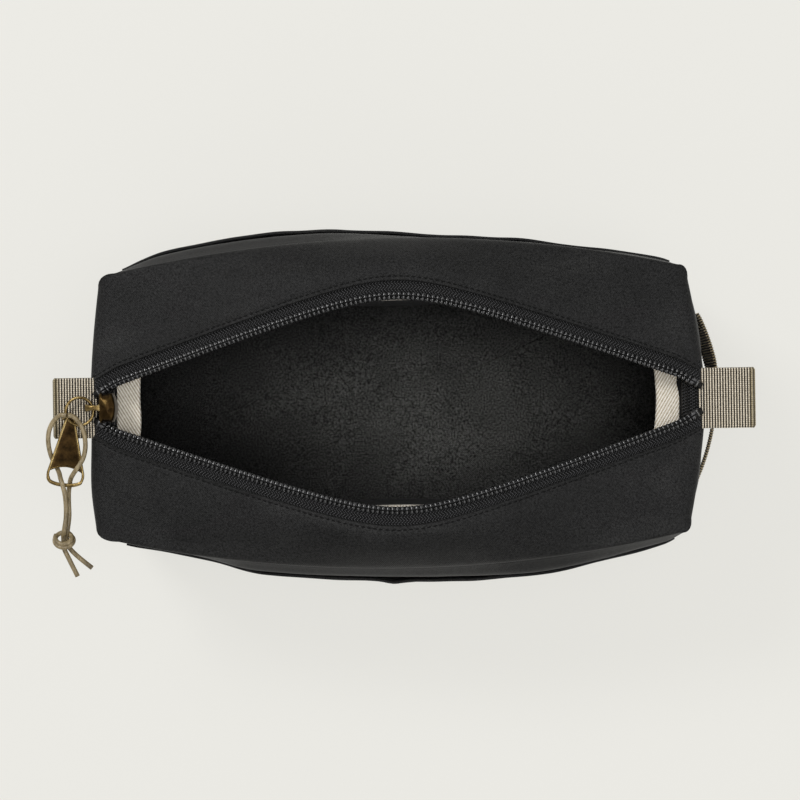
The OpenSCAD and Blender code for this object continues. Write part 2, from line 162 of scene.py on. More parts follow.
def makeWaxedCanvas(name, dark, light, bloom, grainAmount, paintedLightAndWear=False):
    # Waxed cotton canvas, woven and then waxed: nearly black and dull, paler where the wax has been rubbed.
    # Its threads are about 0.5 mm apart, drawn at twice that so that they show.
    material, tree, shader = newMaterial(name, Roughness=0.6, IOR=1.45, Specular_IOR_Level=0.14,
                                         Sheen_Weight=0.05, Sheen_Roughness=0.3)
    flat = addNode(tree, "ShaderNodeSeparateXYZ", {},
                   {0: addNode(tree, "ShaderNodeUVMap", {"uv_map": "UVMap"}).outputs[0]})
    turns = 2 * math.pi / threads["canvas"]
    warp, weft = [addNode(tree, "ShaderNodeMath", {"operation": "SINE"}, {0: addNode(
        tree, "ShaderNodeMath", {"operation": "MULTIPLY"}, {0: flat.outputs[i], 1: turns}).outputs[0]}) for i in (0,
                1)]
    weave = addNode(tree, "ShaderNodeMath", {"operation": "MULTIPLY"},
                    {0: warp.outputs[0], 1: weft.outputs[0]}).outputs[0]
    place = addNode(tree, "ShaderNodeTexCoord").outputs["Object"]
    cloudy = addNode(tree, "ShaderNodeTexNoise", {"Scale": 28, "Detail": 4, "Roughness": 0.6}, {"Vector": place})
    drawn = addNode(tree, "ShaderNodeMapping", {"Scale": (1, 1.6, 1)}, {"Vector": place})
    rubbed = addNode(tree, "ShaderNodeTexNoise", {"Scale": 16, "Detail": 6, "Roughness": 0.65, "Distortion": 0.6},
                     {"Vector": drawn.outputs[0]})
    grain = addNode(tree, "ShaderNodeTexNoise", {"Scale": 1500, "Detail": 2, "Roughness": 0.6}, {"Vector": place})
    creases = addNode(tree, "ShaderNodeTexNoise", {"Scale": 70, "Detail": 3, "Roughness": 0.5, "Distortion": 0.4},
                      {"Vector": place})
    base = addNode(tree, "ShaderNodeValToRGB", {}, {0: cloudy.outputs["Fac"]}, [(0.3, dark), (0.7, light)])
    rub = addNode(tree, "ShaderNodeValToRGB", {}, {0: rubbed.outputs["Fac"]}, [(0.52, 0.0), (0.78, 1.0)])
    if paintedLightAndWear:  # painted pool of light, paler in the middle of the inside base, broken up by the rubbed noise
        often = addNode(tree, "ShaderNodeMath", {"operation": "MULTIPLY"}, {0: rubbed.outputs["Fac"], 1: 1.5})
        paintedLightPool = addNode(tree, "ShaderNodeAttribute", {"attribute_name": "paintedLightPool"})
        amount = addNode(tree, "ShaderNodeMath", {"operation": "MULTIPLY"},
                         {0: paintedLightPool.outputs["Fac"], 1: often.outputs[0]})
    else:
        amount = addNode(tree, "ShaderNodeMath", {"operation": "MULTIPLY"}, {0: rub.outputs[0], 1: 0.45})
    bloomed = addNode(tree, "ShaderNodeMix", {"data_type": "RGBA"},
                      {0: amount.outputs[0], 6: base.outputs[0], 7: hexColour(bloom)})
    specks = addNode(tree, "ShaderNodeMath", {"operation": "MULTIPLY_ADD"},
                     {0: grain.outputs["Fac"], 1: grainAmount, 2: 1 - grainAmount / 2})
    flecks = addNode(tree, "ShaderNodeMath", {"operation": "MULTIPLY_ADD"},
                     {0: weave, 1: 0.06 * grainAmount, 2: specks.outputs[0]})
    colour = addNode(tree, "ShaderNodeMix", {"data_type": "RGBA", "blend_type": "MULTIPLY"},
                     {0: 1.0, 6: bloomed.outputs[2], 7: flecks.outputs[0]})
    tree.links.new(colour.outputs[2], shader.inputs["Base Color"])
    dull = addNode(tree, "ShaderNodeMath", {"operation": "MULTIPLY_ADD"}, {0: cloudy.outputs["Fac"], 1: 0.16, 2: 0.5})
    rough = addNode(tree, "ShaderNodeMath", {"operation": "MULTIPLY_ADD"},
                    {0: rub.outputs[0], 1: -0.1, 2: dull.outputs[0]})
    tree.links.new(rough.outputs[0], shader.inputs["Roughness"])
    soft = addNode(tree, "ShaderNodeBump", {"Strength": 0.25, "Distance": 0.0012}, {"Height": creases.outputs["Fac"]})
    raised = addNode(tree, "ShaderNodeMath", {"operation": "MULTIPLY_ADD"},
                     {0: grain.outputs["Fac"], 1: 0.8, 2: weave})
    fine = addNode(tree, "ShaderNodeBump", {"Strength": 0.35, "Distance": 0.00012},
                   {"Height": raised.outputs[0], "Normal": soft.outputs[0]})
    tree.links.new(fine.outputs[0], shader.inputs["Normal"])
    return material


def makeTapeWeave():
    # Woven polyester zip tape: black and matt, in a herringbone of small chevrons.
    material, tree, shader = newMaterial("wovenPolyesterTape", Roughness=0.62, IOR=1.5, Specular_IOR_Level=0.3)
    flat = addNode(tree, "ShaderNodeSeparateXYZ", {},
                   {0: addNode(tree, "ShaderNodeUVMap", {"uv_map": "UVMap"}).outputs[0]})
    along, across = flat.outputs[0], flat.outputs[1]
    zigzag = addNode(tree, "ShaderNodeMath", {"operation": "PINGPONG"}, {0: across, 1: threads["chevron"]})
    slanted = addNode(tree, "ShaderNodeMath", {"operation": "ADD"}, {0: along, 1: zigzag.outputs[0]})
    waves = []
    for source, pitch in ((slanted.outputs[0], threads["tape"]), (across, threads["tapeRow"])):
        angle = addNode(tree, "ShaderNodeMath", {"operation": "MULTIPLY"}, {0: source, 1: 2 * math.pi / pitch})
        waves.append(addNode(tree, "ShaderNodeMath", {"operation": "SINE"}, {0: angle.outputs[0]}).outputs[0])
    height = addNode(tree, "ShaderNodeMath", {"operation": "MULTIPLY_ADD"}, {0: waves[1], 1: 0.3, 2: waves[0]})
    tone = addNode(tree, "ShaderNodeMath", {"operation": "MULTIPLY_ADD"}, {0: height.outputs[0], 1: 0.42, 2: 0.42})
    colour = addNode(tree, "ShaderNodeValToRGB", {}, {0: tone.outputs[0]},
                     [(0.35, "030303"), (0.7, "1f1f20"), (0.95, "5c5c5e")])
    tree.links.new(colour.outputs[0], shader.inputs["Base Color"])
    raised = addNode(tree, "ShaderNodeBump", {"Strength": 1.0, "Distance": 0.0005}, {"Height": tone.outputs[0]})
    tree.links.new(raised.outputs[0], shader.inputs["Normal"])
    return material


def makeCoilNylon():
    # Moulded nylon coil: glossy black, with small sharp lights.
    material, tree, shader = newMaterial("nylonCoil", Roughness=0.34, IOR=1.53, Specular_IOR_Level=1.0,
                                         Coat_Weight=1.0,
                                         Coat_Roughness=0.17)
    place = addNode(tree, "ShaderNodeTexCoord").outputs["Object"]
    tone = addNode(tree, "ShaderNodeTexNoise", {"Scale": 400, "Detail": 2, "Roughness": 0.55}, {"Vector": place})
    colour = addNode(tree, "ShaderNodeValToRGB", {}, {0: tone.outputs["Fac"]}, [(0.3, "0b0b0c"), (0.7, "1a1a1c")])
    tree.links.new(colour.outputs[0], shader.inputs["Base Color"])
    return material


def makeWebbing(name, stops):
    # Woven cotton webbing: cream ribs across its width with dark gaps, and painted shade, browner, where it is
    # folded.
    material, tree, shader = newMaterial(name, Roughness=0.78, IOR=1.45, Sheen_Weight=0.15)
    flat = addNode(tree, "ShaderNodeSeparateXYZ", {},
                   {0: addNode(tree, "ShaderNodeUVMap", {"uv_map": "UVMap"}).outputs[0]})
    tones = []
    for source, pitch, depth, level in ((flat.outputs[1], threads["rib"], 0.62, 0.55),
                                        (flat.outputs[0], threads["ribRow"], 0.3, 0.78)):
        angle = addNode(tree, "ShaderNodeMath", {"operation": "MULTIPLY"}, {0: source, 1: 2 * math.pi / pitch})
        wave = addNode(tree, "ShaderNodeMath", {"operation": "SINE"}, {0: angle.outputs[0]})
        tones.append(addNode(tree, "ShaderNodeMath", {"operation": "MULTIPLY_ADD"},
                             {0: wave.outputs[0], 1: depth, 2: level}).outputs[0])
    woven = addNode(tree, "ShaderNodeMath", {"operation": "MULTIPLY"}, {0: tones[0], 1: tones[1]})
    place = addNode(tree, "ShaderNodeTexCoord").outputs["Object"]
    thread = addNode(tree, "ShaderNodeTexNoise", {"Scale": 900, "Detail": 2, "Roughness": 0.6}, {"Vector": place})
    uneven = addNode(tree, "ShaderNodeMath", {"operation": "SUBTRACT"}, {0: thread.outputs["Fac"], 1: 0.5})
    tone = addNode(tree, "ShaderNodeMath", {"operation": "MULTIPLY_ADD"},
                   {0: uneven.outputs[0], 1: 0.35, 2: woven.outputs[0]}).outputs[0]
    ribs = addNode(tree, "ShaderNodeValToRGB", {}, {0: tone}, list(zip((0.12, 0.3, 0.55, 0.9), stops)))
    brown = addNode(tree, "ShaderNodeMix", {"data_type": "RGBA"},
                    {0: tone, 6: hexColour("3a3119"), 7: hexColour("8a7a4c")})
    # painted shade: the foldShade attribute mixes in browner, darker ribs
    fold = addNode(tree, "ShaderNodeAttribute", {"attribute_name": "foldShade"})
    shade = addNode(tree, "ShaderNodeMath", {"operation": "MULTIPLY"}, {0: fold.outputs["Fac"], 1: 0.75})
    colour = addNode(tree, "ShaderNodeMix", {"data_type": "RGBA"},
                     {0: shade.outputs[0], 6: ribs.outputs[0], 7: brown.outputs[2]})
    tree.links.new(colour.outputs[2], shader.inputs["Base Color"])
    raised = addNode(tree, "ShaderNodeBump", {"Strength": 0.8, "Distance": 0.00035}, {"Height": tone})
    tree.links.new(raised.outputs[0], shader.inputs["Normal"])
    return material


def makeBindingTwill():
    # Woven cotton twill tape: beige, with fine diagonal ribs.
    material, tree, shader = newMaterial("cottonTwillTape", Roughness=0.82, IOR=1.45, Sheen_Weight=0.2)
    flat = addNode(tree, "ShaderNodeSeparateXYZ", {},
                   {0: addNode(tree, "ShaderNodeUVMap", {"uv_map": "UVMap"}).outputs[0]})
    slant = addNode(tree, "ShaderNodeMath", {"operation": "MULTIPLY_ADD"},
                    {0: flat.outputs[1], 1: -0.6, 2: flat.outputs[0]})
    angle = addNode(tree, "ShaderNodeMath", {"operation": "MULTIPLY"},
                    {0: slant.outputs[0], 1: 2 * math.pi / threads["twill"]})
    lines = addNode(tree, "ShaderNodeMath", {"operation": "SINE"}, {0: angle.outputs[0]})
    place = addNode(tree, "ShaderNodeTexCoord").outputs["Object"]
    thread = addNode(tree, "ShaderNodeTexNoise", {"Scale": 700, "Detail": 2, "Roughness": 0.6}, {"Vector": place})
    ground = addNode(tree, "ShaderNodeMath", {"operation": "MULTIPLY_ADD"},
                     {0: thread.outputs["Fac"], 1: 0.5, 2: 0.28})
    tone = addNode(tree, "ShaderNodeMath", {"operation": "MULTIPLY_ADD"},
                   {0: lines.outputs[0], 1: 0.3, 2: ground.outputs[0]}).outputs[0]
    colour = addNode(tree, "ShaderNodeValToRGB", {}, {0: tone}, [(0.12, "a39680"), (0.45, "e2d6c1"), (0.8, "fffaf0")])
    tree.links.new(colour.outputs[0], shader.inputs["Base Color"])
    raised = addNode(tree, "ShaderNodeBump", {"Strength": 0.6, "Distance": 0.0003}, {"Height": tone})
    tree.links.new(raised.outputs[0], shader.inputs["Normal"])
    return material


def makeAntiqueBrass(name, stops):
    # Antique-plated brass, polished on its edges: dark brown in the hollows, rubbed to gold where it is handled.
    material, tree, shader = newMaterial(name, Metallic=1.0, Roughness=0.36)
    place = addNode(tree, "ShaderNodeTexCoord").outputs["Object"]
    patches = addNode(tree, "ShaderNodeTexNoise", {"Scale": 260, "Detail": 4, "Roughness": 0.6},
                      {"Vector": place}).outputs["Fac"]
    edge = addNode(tree, "ShaderNodeMath", {"operation": "SUBTRACT"},
                   {0: addNode(tree, "ShaderNodeNewGeometry").outputs["Pointiness"], 1: 0.5})
    paintedLightAndWear = addNode(tree, "ShaderNodeMath", {"operation": "MULTIPLY"}, {0: edge.outputs[0], 1: 6.0})
    tone = addNode(tree, "ShaderNodeMath", {"operation": "MULTIPLY_ADD"}, {0: patches, 1: 0.7, 2: paintedLightAndWear.outputs[0]})
    colour = addNode(tree, "ShaderNodeValToRGB", {}, {0: tone.outputs[0]}, list(zip((0.25, 0.45, 0.8), stops)))
    tree.links.new(colour.outputs[0], shader.inputs["Base Color"])
    rough = addNode(tree, "ShaderNodeMath", {"operation": "MULTIPLY_ADD"}, {0: patches, 1: 0.25, 2: 0.22})
    tree.links.new(rough.outputs[0], shader.inputs["Roughness"])
    pits = addNode(tree, "ShaderNodeTexNoise", {"Scale": 1800, "Detail": 2, "Roughness": 0.55}, {"Vector": place})
    raised = addNode(tree, "ShaderNodeBump", {"Strength": 0.12, "Distance": 0.0001}, {"Height": pits.outputs["Fac"]})
    tree.links.new(raised.outputs[0], shader.inputs["Normal"])
    return material


def makeLaceLeather():
    # Round leather lace, cut and oiled: olive brown, with grain drawn out along its length.
    material, tree, shader = newMaterial("oiledLeatherLace", Roughness=0.42, IOR=1.5, Coat_Weight=0.2,
                                         Coat_Roughness=0.3)
    place = addNode(tree, "ShaderNodeTexCoord").outputs["Object"]
    drawn = addNode(tree, "ShaderNodeMapping", {"Scale": (1.6, 0.35, 1.6)}, {"Vector": place})
    streaks = addNode(tree, "ShaderNodeTexNoise", {"Scale": 500, "Detail": 4, "Roughness": 0.65, "Distortion": 0.5},
                      {"Vector": drawn.outputs[0]}).outputs["Fac"]
    cloudy = addNode(tree, "ShaderNodeTexNoise", {"Scale": 120, "Detail": 2, "Roughness": 0.55}, {"Vector": place})
    faint = addNode(tree, "ShaderNodeMath", {"operation": "MULTIPLY"}, {0: streaks, 1: 0.65})
    tone = addNode(tree, "ShaderNodeMath", {"operation": "MULTIPLY_ADD"},
                   {0: cloudy.outputs["Fac"], 1: 0.4, 2: faint.outputs[0]})
    colour = addNode(tree, "ShaderNodeValToRGB", {}, {0: tone.outputs[0]},
                     [(0.3, "463b28"), (0.5, "7a6b4c"), (0.72, "ab9a79")])
    tree.links.new(colour.outputs[0], shader.inputs["Base Color"])
    raised = addNode(tree, "ShaderNodeBump", {"Strength": 0.4, "Distance": 0.0002}, {"Height": streaks})
    tree.links.new(raised.outputs[0], shader.inputs["Normal"])
    return material


def makeThread():
    # Bonded polyester thread, spun and coated: black, with a slight gloss.
    material, tree, shader = newMaterial("polyesterThread", Roughness=0.7, IOR=1.5, Specular_IOR_Level=0.15)
    place = addNode(tree, "ShaderNodeTexCoord").outputs["Object"]
    tone = addNode(tree, "ShaderNodeTexNoise", {"Scale": 2500, "Detail": 1, "Roughness": 0.55}, {"Vector": place})
    colour = addNode(tree, "ShaderNodeValToRGB", {}, {0: tone.outputs["Fac"]}, [(0.3, "040404"), (0.7, "0b0b0b")])
    tree.links.new(colour.outputs[0], shader.inputs["Base Color"])
    return material


canvas = makeWaxedCanvas("waxedCottonCanvas", "1b1b1b", "242424", "333332", 3.9)
# painted shade: a darker copy of the waxed canvas for the inside of the bag, its inner pockets and turned-in seams,
# where shade falls
shadedInnerCanvas = makeWaxedCanvas("waxedCottonInsidePaintedShade", "0a0a0a", "101010", "1c1c1b", 4.0)
# painted shade and light: a darker copy of the canvas for the inside base, with a painted pool of light in its middle
paintedLightBaseCanvas = makeWaxedCanvas("waxedCottonBasePaintedLight", "111111", "191919", "6c6c69", 6.0, paintedLightAndWear=True)
tapeWeave = makeTapeWeave()
coilNylon = makeCoilNylon()
webbing = makeWebbing("cottonWebbing", ("0b0907", "544c3c", "bfb094", "fbf1de"))
# painted light and shade: the carry strap's own copy of the webbing, its darks lifted and its lights lowered for how
# light falls on the strap on edge
handleWebbingPaintedLight = makeWebbing("cottonWebbingLitCopy", ("1c160d", "5d5039", "9c8c6c", "c9bb9c"))
bindingTwill = makeBindingTwill()
antiqueBrass = makeAntiqueBrass("antiqueBrass", ("3a2e1b", "6d5a36", "b8a270"))
# painted shade: a darker copy of the brass, used on the slider body and on the tab's sunk plate and slot bar
shadedBrass = makeAntiqueBrass("brassPaintedShade", ("1c140a", "3a2b17", "6b5833"))
laceLeather = makeLaceLeather()
threadPolyester = makeThread()
print("materials made")

# Mesh helpers


def newObject(name, data, material=None):
    piece = bpy.data.objects.new(name, data)
    scene.collection.objects.link(piece)
    if material is not None:
        data.materials.append(material)
    return piece


def gridMesh(name, rows, uvRows, closeAcross=False, closeAlong=False, capEnds=False):
    # Joins rows of points, in millimetres, into a smooth mesh with its own UV map.
    count = len(rows[0])
    verts = [tuple(c * mm for c in p) for row in rows for p in row]
    faces, uvs = [], []
    total = len(rows)
    for i in range(total if closeAlong else total - 1):
        for j in range(count if closeAcross else count - 1):
            a, b = (i, j), (i, (j + 1) % count)
            c, d = ((i + 1) % total, (j + 1) % count), ((i + 1) % total, j)
            faces.append([r * count + k for r, k in (a, b, c, d)])
            ua, ub = uvRows[i][j], uvRows[i][j + 1]
            uc, ud = uvRows[i + 1][j + 1], uvRows[i + 1][j]
            uvs.extend([ua, ub, uc, ud])
    if capEnds:
        for row in (list(range(count))[::-1], [(total - 1) * count + k for k in range(count)]):
            faces.append(row)
            uvs.extend([uvRows[0][0]] * count)
    mesh = bpy.data.meshes.new(name)
    mesh.from_pydata(verts, [], faces)
    layer = mesh.uv_layers.new(name="UVMap")
    for loop, uv in zip(layer.data, uvs):
        loop.uv = uv
    mesh.polygons.foreach_set("use_smooth", [True] * len(mesh.polygons))
    mesh.update()
    return mesh


def outward(mesh):
    # Turns a closed mesh's faces outwards.
    work = bmesh.new()
    work.from_mesh(mesh)
    bmesh.ops.recalc_face_normals(work, faces=work.faces)
    work.to_mesh(mesh)
    work.free()
    return mesh


def roundTrip(points, pieces=4):
    # Rounds a closed loop of points into a finer one.
    n = len(points)
    result = []
    for i in range(n):
        a, b, c, d = (Vector(points[k % n]) for k in (i - 1, i, i + 1, i + 2))
        for k in range(pieces):
            t = k / pieces
            result.append(0.5 * ((2 * b) + (c - a) * t + (2 * a - 5 * b + 4 * c - d) * t * t
                                 + (3 * b - a - 3 * c + d) * t ** 3))
    return result


def sweep(name, path, width, height, material, closed=False, up=(0, 0, 1), corner=0.42):
    # A bar with a rounded section, swept along path; width and height are numbers or one number a point.
    rows, uvRows = [], []
    n = len(path)
    along = 0.0
    for i, point in enumerate(path):
        point = Vector(point)
        a, b = (path[(i - 1) % n], path[(i + 1) % n]) if closed else (path[max(0, i - 1)], path[min(n - 1, i + 1)])
        tangent = (Vector(b) - Vector(a)).normalized()
        side = tangent.cross(Vector(up)).normalized()
        top = side.cross(tangent).normalized()
        w = width[i] if isinstance(width, list) else width
        h = height[i] if isinstance(height, list) else height
        row = []
        for k in range(16):
            c = 2 * math.pi * k / 16
            cx, cy = math.cos(c), math.sin(c)
            row.append(tuple(point + side * (w / 2 * math.copysign(abs(cx) ** corner, cx))
                             + top * (h / 2 * math.copysign(abs(cy) ** corner, cy))))
        rows.append(row)
        along += (Vector(b) - Vector(a)).length / 2
        uvRows.append([(along, k * 0.2) for k in range(17)])
    mesh = outward(gridMesh(name, rows, uvRows + uvRows[:1], closeAcross=True, closeAlong=closed, capEnds=not closed))
    return newObject(name, mesh, material)


def finishPiece(piece, body, slotName, *nodes):
    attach(piece, body)
    if nodes:
        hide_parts(*nodes)
    return piece


def spread(count, a, b):
    return [a + (b - a) * i / (count - 1) for i in range(count)]


def smoothPath(points, pieces=6):
    # Rounds a route of points into a finer one that passes through them.
    result = []
    last = len(points) - 1
    for i in range(last):
        a, b, c, d = (Vector(points[max(0, min(last, k))]) for k in (i - 1, i, i + 1, i + 2))
        for k in range(pieces):
            t = k / pieces
            result.append(0.5 * ((2 * b) + (c - a) * t + (2 * a - 5 * b + 4 * c - d) * t * t
                                 + (3 * b - a - 3 * c + d) * t ** 3))
    result.append(Vector(points[-1]))
    return result


def curveThrough(name, paths, closed=False):
    data = bpy.data.curves.new(name, "CURVE")
    data.dimensions = "3D"
    for points in paths:
        spline = data.splines.new("POLY")
        spline.points.add(len(points) - 1)
        for target, point in zip(spline.points, points):
            target.co = (point[0] * mm, point[1] * mm, point[2] * mm, 1)
        spline.use_cyclic_u = closed
    return data


# Camera

camera = {"height": 1100.0, "frameWidth": 336.0, "aim": (0.84, 1.26), "turn": -0.93, "sensor": 36.0}
cameraData = bpy.data.cameras.new("camera")
cameraData.sensor_width = camera["sensor"]
cameraData.lens = camera["sensor"] * camera["height"] / camera["frameWidth"]
cameraData.clip_end = 10
cameraObject = newObject("camera", cameraData)
cameraObject.location = (camera["aim"][0] * mm, camera["aim"][1] * mm, (bag["seamZ"] + camera["height"]) * mm)
cameraObject.rotation_euler = (0, 0, math.radians(camera["turn"]))
scene.camera = cameraObject
print("camera placed")

# Lace

lace = {
    "thickness": 2.0,
    "left": [(-138.5, -3.0, 6.1), (-141.4, -2.9, 5.2), (-144.2, -5.2, 4.0), (-146.2, -8.8, 3.0), (-146.9, -13, 2.1),
             (-146.6, -17.5, 0.7), (-145.6, -21.4, -0.8), (-143.9, -24.8, -1.0), (-142.7, -27.2, 0.4), (-142, -29.2,
                     2.4),
             (-141, -32, 3.7), (-140.1, -36, 3.6), (-139.7, -41, 3.4), (-139.8, -46, 3.6), (-140.4, -50, 3.9),
             (-141.0, -52.8, 3.0), (-141.3, -55.2, 1.2), (-141.2, -58.6, 0.6), (-139.2, -63.2, 0.4), (-135.8, -70.6,
                     -0.6)],
    "right": [(-138.1, -3.0, 6.1), (-135.8, -3.5, 5.6), (-133.4, -6.2, 4.8), (-131.8, -9.8, 4.0),
              (-131.2, -13.6, 3.6),
              (-131.3, -17.4, 3.5), (-132.3, -21.2, 3.4), (-134.4, -24.6, 3.4), (-136.5, -27.4, 2.4), (-137.9, -29.6,
                      0.6),
              (-138.6, -32.2, -0.9), (-138.9, -35.4, 0.2), (-138.8, -39.5, 1.4), (-138.7, -45, 1.6), (-139.3, -50,
                      1.6),
              (-139.9, -53.6, 0.9), (-139.9, -56.4, 0.4), (-138.4, -59.2, 0.5), (-135, -62.6, 0.6), (-129.7, -67.2,
                      -0.6)],
}
knot = {"centre": (-141.2, -54.8, 2.6), "reach": (3.9, 2.9), "tilt": 2.3, "rise": 1.0, "thickness": 2.0}


def makeLace(name, route, node):
    points = smoothPath([(x, y, z + bag["seamZ"]) for x, y, z in route], 6)
    data = curveThrough(name, [points])
    data.bevel_depth = lace["thickness"] / 2 * mm
    data.bevel_resolution = 5
    data.use_fill_caps = True
    piece = newObject(name, data, laceLeather)
    finishPiece(piece, "pull", "lace", node)
    return piece, points


def makeKnot():
    # An overhand knot: turns laid round both strands, with a strand that crosses over them.
    x0, y0, z0 = knot["centre"]
    rx, ry = knot["reach"]
    turns = []
    for i in range(81):
        t = i / 80
        a = math.radians(160 + 640 * t)
        grow = 0.82 + 0.22 * t
        # low behind the strands at the top, high across the front, each turn lying below the last
        turns.append((x0 + grow * rx * math.cos(a) + 0.3 * t, y0 + 1.0 + grow * ry * math.sin(a) - 2.0 * t,
                      bag["seamZ"] + z0 - knot["tilt"] * math.sin(a) - knot["rise"] * (t - 0.5)))
    data = curveThrough("laceKnotTurns", [turns])
    data.bevel_depth = knot["thickness"] / 2 * mm
    data.bevel_resolution = 5
    data.use_fill_caps = True
    piece = newObject("laceKnotTurns", data, laceLeather)
    return finishPiece(piece, "pull", "lace", "lace_knot")


knotPiece = makeKnot()
for side, node in (("left", "lace_left"), ("right", "lace_right")):
    strand, strandPoints = makeLace("laceStrand" + side.title(), lace[side], node)
print("lace made")

# Bag shell


def halfOutline(turn):
    # Points along one long side and round one end, with their outward directions; part 2 is the end.
    r = bag["cornerRound"]
    innerX = bag["cornerX"] - r
    topY = sideY(innerX)
    points = []
    for x in spread(int(2 * innerX / bag["sideStep"]), -innerX, innerX)[:-1]:
        slope = -2 * (bag["midY"] - bag["cornerY"]) * x / bag["cornerX"] ** 2
        points.append((x, sideY(x), Vector((-slope, 1, 0)).normalized(), 0))
    for i in range(8):
        a = math.pi / 2 * (1 - i / 8)
        points.append((innerX + (endReach((topY - r) * turn, turn) - innerX) * math.cos(a),
                       topY - r + r * math.sin(a),
                       Vector((math.cos(a), math.sin(a), 0)), 1))
    ys = spread(int(2 * (topY - r) / bag["sideStep"]), topY - r, -(topY - r))[:-1]
    for y in ys:
        slope = (endReach((y - 0.1) * turn, turn) - endReach((y + 0.1) * turn, turn)) / 0.2
        points.append((endReach(y * turn, turn), y, Vector((1, slope, 0)).normalized(), 2))
    for i in range(8):
        a = -math.pi / 2 * i / 8
        points.append((innerX + (endReach((r - topY) * turn, turn) - innerX) * math.cos(a),
                       -topY + r + r * math.sin(a),
                       Vector((math.cos(a), math.sin(a), 0)), 1))
    return points


def bagOutline():
    near, far = halfOutline(1), halfOutline(-1)
    return near + [(-x, -y, Vector((-n.x, -n.y, 0)), part) for x, y, n, part in far]


def sideBulge(x, side):
    # The long walls stand out below their seams, the back to the left and the front to the right.
    if side > 0:
        return 3.5 * smoothStep(24, -36, x) * smoothStep(-124, -98, x) + 0.7 * smoothStep(60, 100,
                x) * smoothStep(122, 114, x)
    return (3.5 * smoothStep(-92, -58, x) + 2.4 * math.exp(-((x - 56) / 26) ** 2) - 1.0 * smoothStep(85, 118, x)) \
        * smoothStep(124, 112, x)


def endDrop(x, y, z):
    # The ends roll over and sit lower than the long seams.
    share = smoothStep(bag["cornerX"] - 7, bag["cornerX"] - 1, abs(x)) * smoothStep(54, 46, abs(y))
    return 4.3 * share * smoothStep(50, bag["seamZ"], z)


strapLow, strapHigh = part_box("handle_strap")
handle = {"middle": (strapLow[2] + strapHigh[2]) / 2 / mm, "from": strapLow[1] / mm, "to": strapHigh[1] / mm,
          "foot": 8.0,
          "off": 1.0, "bowOut": 7.4, "reach": 42.0}


def strapBow(y):
    # How far the carry strap stands off the right end.
    return handle["bowOut"] * max(0.0, 1 - (y / handle["reach"]) ** 2) ** 0.85


def strapLean(y):
    # The strap is twisted a little, the other way at the back, and lies flat at its sewn ends.
    degrees = 6.8 - 10.5 * smoothStep(-4, 18, y)
    return math.radians(degrees * smoothStep(42, 33, abs(y)))


def wallSwell(x, y, z, part):
    # How far the soft wall stands out from the seam's line, in millimetres.
    h = z / bag["seamZ"]
    along = 1 - min(1, abs(x) / bag["cornerX"]) ** 4 if part != 2 else 1 - min(1, abs(y) / bag["cornerY"]) ** 4
    belly = math.sin(math.pi * min(1, max(0, h))) ** 0.8
    swell = (1.6 if part != 2 else 2.4) * belly * (0.35 + 0.65 * along)
    if part == 2 and x > 0:
        swell += 1.6 * math.exp(-((y - 30) / 16) ** 2 - ((z - 84) / 22) ** 2)
        swell += 1.3 * math.exp(-((y + 34) / 14) ** 2 - ((z - 88) / 20) ** 2)
    soft = ripple(x, y, z * 0.8, 38, 1.3) * 1.5 + ripple(x, y, z, 17, 5.1) * 0.5
    if part != 2:
        swell += sideBulge(x, y) * smoothStep(10, 78, z)
    swell += soft * belly
    if part > 0 and x > 0 and abs(y) < handle["reach"] + 10:  # the strap holds the wall back where it is sewn down
        room = max(-0.5, strapBow(y) - 0.7 - 13 * abs(math.sin(strapLean(y))))
        near = smoothStep(26, 15, abs(z - handle["middle"])) * smoothStep(handle["reach"] + 10, handle["reach"] + 4,
                abs(y))
        swell += (min(swell, room) - swell) * near
    return swell


